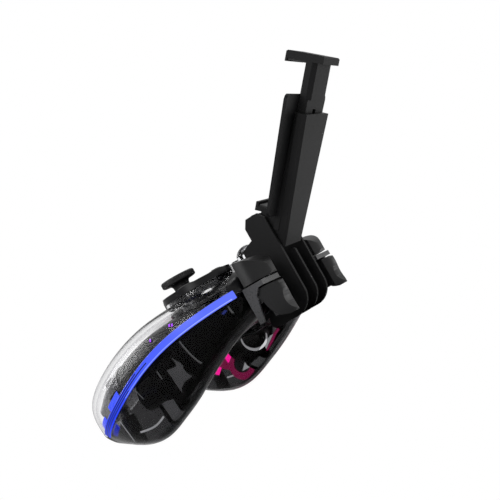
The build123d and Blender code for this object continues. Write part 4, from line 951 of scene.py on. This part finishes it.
def build_collars():
    """Collars of the sticks: stacked rings with a rounded lip."""
    for side, (x, y, radius, top) in STICKS.items():
        high = COLLAR_LIP_Z
        lip = [(0, -5.1), (radius, -5.1), (radius, top - 0.5), (radius - 0.15, top - 0.2),
               (radius - 0.5, top - 0.05), (radius - 0.55, top + 0.1), (radius - 0.25, top + 0.15),
               (radius - 0.1, top + 0.2), (radius - 0.1, high - 0.3), (radius - 0.25, high - 0.1),
               (radius - 0.6, high), (10.8, high), (10.5, high - 0.1), (10.3, high - 0.4), (0, high - 0.4)]
        ring = combine(turned(lip, FINE, (x, y, 0)), [cut(post(x, y, 10.1, -8, 8, FINE))])
        piece = new_object(f"collar_{side}", ring, "collar", "pad", SHARP)
        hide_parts(f"stick_collar_{side}")


def build_cluster_ring():
    """The dark ring inside the clear rim round the face buttons."""
    holes = [cut(post(*CLUSTER, RIM_R - RIM_WALL - 0.8, -9, 9, FINE))]
    holes += [cut(post(*at, BUTTON_HOLE_R + 0.05, *HOLE_SPAN, 48)) for at in BUTTONS.values()]
    ring = combine(post(*CLUSTER, RIM_R - RIM_WALL - 0.02, -4, RIM_TOP_Z - 0.1, FINE), holes)
    new_object("cluster_ring", ring, "collar", "pad", SHARP)


# Making of the pieces
whole_form = body_mesh(0, tip=0.65)
build_housing(whole_form)
build_guides(whole_form)
build_strands()
build_panels()
build_lines()
build_liner()
grip_room = keep(body_mesh(WALL + 0.3, tip=0.6))
build_grip_ends(grip_room)
build_far_grip(grip_room)
build_cluster_ring()
build_face_insides()
build_sticks()
build_face_buttons()
build_shoulders()
build_collars()

# Finishes of the CAD nodes that stay: by name, or by the start of the name with the rounding of the edges
FINISH = {
    "main_board": "board", "charge_port": "steel", "tact_switches": "grey", "button_pad": "membrane",
    "battery": "cell", "screws": "steel", "button_home": "dome", "hinge_pin": "steel", "jaw_spring": "steel",
    "seat_pad": "rubber", "lower_jaw_pad": "rubber", "upper_jaw_pad": "rubber", "dpad_pivot": "grey",
    "dpad_post": "grey",
}
PREFIX = [
    ("trigger_pin", "steel", 0), ("bumper_pin", "steel", 0), ("rumble_motor", "can", 0.2),
    ("motor_weight", "weight", 0.2), ("stick_ring", "steel", 0), ("stick_hub", "steel", 0),
    ("stick_collar", "collar", 0), ("stick_base", "grey", 0), ("thumbstick", "rubber", 0),
    ("shoulder_frame", "bezel", 0.3), ("trigger", "black", 0.7), ("bumper", "black", 0.7),
    ("button", "black", 0), ("dpad", "black", 0.3), ("holder", "bracket", 0.5),
    ("upper_jaw", "bracket", 0.4), ("bracket_base", "bracket", 0.5),
]
for name, node in nodes.items():
    key = FINISH.get(name)
    width = 0.0
    if key is None:
        prefix, key, width = next((p for p in PREFIX if name.startswith(p[0])), ("", "black", 0))
    for slot_item in node.material_slots:
        slot_item.link = "OBJECT"
        slot_item.material = MAT[key]
    if width:
        soften(node, width)

# Camera, as the photograph was taken, in the face frame
CAMERA_AT = (517.7, 184.0, -31.4)
CAMERA_RIGHT = Vector((-0.3531, 0.7978, -0.4888))
CAMERA_DOWN = Vector((0.1274, -0.4763, -0.8700))
SENSOR_MM = 36.0
FOCAL_PER_WIDTH = 2.2
camera_data = bpy.data.cameras.new("camera")
camera_data.sensor_width = SENSOR_MM
camera_data.lens = FOCAL_PER_WIDTH * SENSOR_MM
camera_data.clip_start = 0.01
camera = bpy.data.objects.new("camera", camera_data)
scene.collection.objects.link(camera)
right = (TURN.to_3x3() @ CAMERA_RIGHT).normalized()
up = -(TURN.to_3x3() @ CAMERA_DOWN)
up = (up - right * up.dot(right)).normalized()
back = right.cross(up)
camera.matrix_world = Matrix((
    (right.x, up.x, back.x, 0), (right.y, up.y, back.y, 0), (right.z, up.z, back.z, 0), (0, 0, 0, 1)))
camera.matrix_world.translation = TO_ROW @ Vector(CAMERA_AT)
scene.camera = camera

# Floor: seen and casting back light only from above, because the camera looks up from under it
FLOOR_HALF = 1.6
FLOOR_FADE = (0.16, 0.60)
corners = [(-FLOOR_HALF, -FLOOR_HALF, 0), (FLOOR_HALF, -FLOOR_HALF, 0), (FLOOR_HALF, FLOOR_HALF, 0),
           (-FLOOR_HALF, FLOOR_HALF, 0)]
floor_mesh = bpy.data.meshes.new("floor")
floor_mesh.from_pydata(corners, [], [(0, 1, 2, 3)])
floor = bpy.data.objects.new("floor", floor_mesh)
scene.collection.objects.link(floor)


def floor_finish():
    """Matt white, open from below and fading out away from the pad."""
    material, tree, body = shader("floor", {"Base Color": (0.86, 0.86, 0.86, 1), "Roughness": 0.9,
                                            "Specular IOR Level": 0.1})
    place = tree.nodes.new("ShaderNodeTexCoord")
    distance = add(tree, "ShaderNodeVectorMath", operation="LENGTH")
    fade = add(tree, "ShaderNodeMapRange", interpolation_type="SMOOTHSTEP")
    fade.inputs["From Min"].default_value = FLOOR_FADE[0]
    fade.inputs["From Max"].default_value = FLOOR_FADE[1]
    side = tree.nodes.new("ShaderNodeNewGeometry")
    openness = add(tree, "ShaderNodeMath", operation="MAXIMUM")
    see_through = tree.nodes.new("ShaderNodeBsdfTransparent")
    mix = tree.nodes.new("ShaderNodeMixShader")
    wire(tree, place, "Object", distance, 0)
    wire(tree, distance, "Value", fade, "Value")
    wire(tree, fade, "Result", openness, 0)
    wire(tree, side, "Backfacing", openness, 1)
    wire(tree, openness, "Value", mix, "Fac")
    wire(tree, body, "BSDF", mix, 1)
    wire(tree, see_through, "BSDF", mix, 2)
    wire(tree, mix, "Shader", tree.nodes["Material Output"], "Surface")
    return material


floor_mesh.materials.append(floor_finish())

# World: white where it is looked at, weaker in mirror images and as a light
LIGHT_SHARE = 0.28
MIRROR_SHARE = 0.18
world = bpy.data.worlds.new("world")
scene.world = world
world.use_nodes = True
sky = world.node_tree
backdrop = sky.nodes["Background"]
backdrop.inputs["Color"].default_value = (1, 1, 1, 1)
soft = add(sky, "ShaderNodeBackground", Color=(1, 1, 1, 1), Strength=LIGHT_SHARE)
path = sky.nodes.new("ShaderNodeLightPath")
seen = add(sky, "ShaderNodeMath", operation="MAXIMUM")
mirror_part = scaled(sky, "MULTIPLY", MIRROR_SHARE)
mirrored_too = add(sky, "ShaderNodeMath", operation="MAXIMUM")
blend = sky.nodes.new("ShaderNodeMixShader")
wire(sky, path, "Is Camera Ray", seen, 0)
wire(sky, path, "Is Transmission Ray", seen, 1)
wire(sky, path, "Is Glossy Ray", mirror_part, 0)
wire(sky, seen, "Value", mirrored_too, 0)
wire(sky, mirror_part, "Value", mirrored_too, 1)
wire(sky, mirrored_too, "Value", blend, "Fac")
wire(sky, soft, "Background", blend, 1)
wire(sky, backdrop, "Background", blend, 2)
wire(sky, blend, "Shader", sky.nodes["World Output"], "Surface")

# Lamps


def softbox(name, at, aim, size, power):
    """An area lamp at a row-frame place, aimed at a point."""
    lamp_data = bpy.data.lights.new(name, "AREA")
    lamp_data.shape = "RECTANGLE"
    lamp_data.size = size[0]
    lamp_data.size_y = size[1]
    lamp_data.energy = power
    lamp = bpy.data.objects.new(name, lamp_data)
    scene.collection.objects.link(lamp)
    lamp.location = at
    lamp.rotation_euler = (Vector(aim) - Vector(at)).to_track_quat("-Z", "Y").to_euler()


softbox("key", (0.25, -0.55, 0.75), (0, 0, 0.03), (0.5, 0.5), 5.0)
softbox("side", (0.85, 0.1, 0.35), (0, 0, 0.05), (0.4, 0.6), 5.0)
softbox("rim", (-0.5, 0.6, 0.5), (0, 0, 0.05), (0.4, 0.4), 5.0)
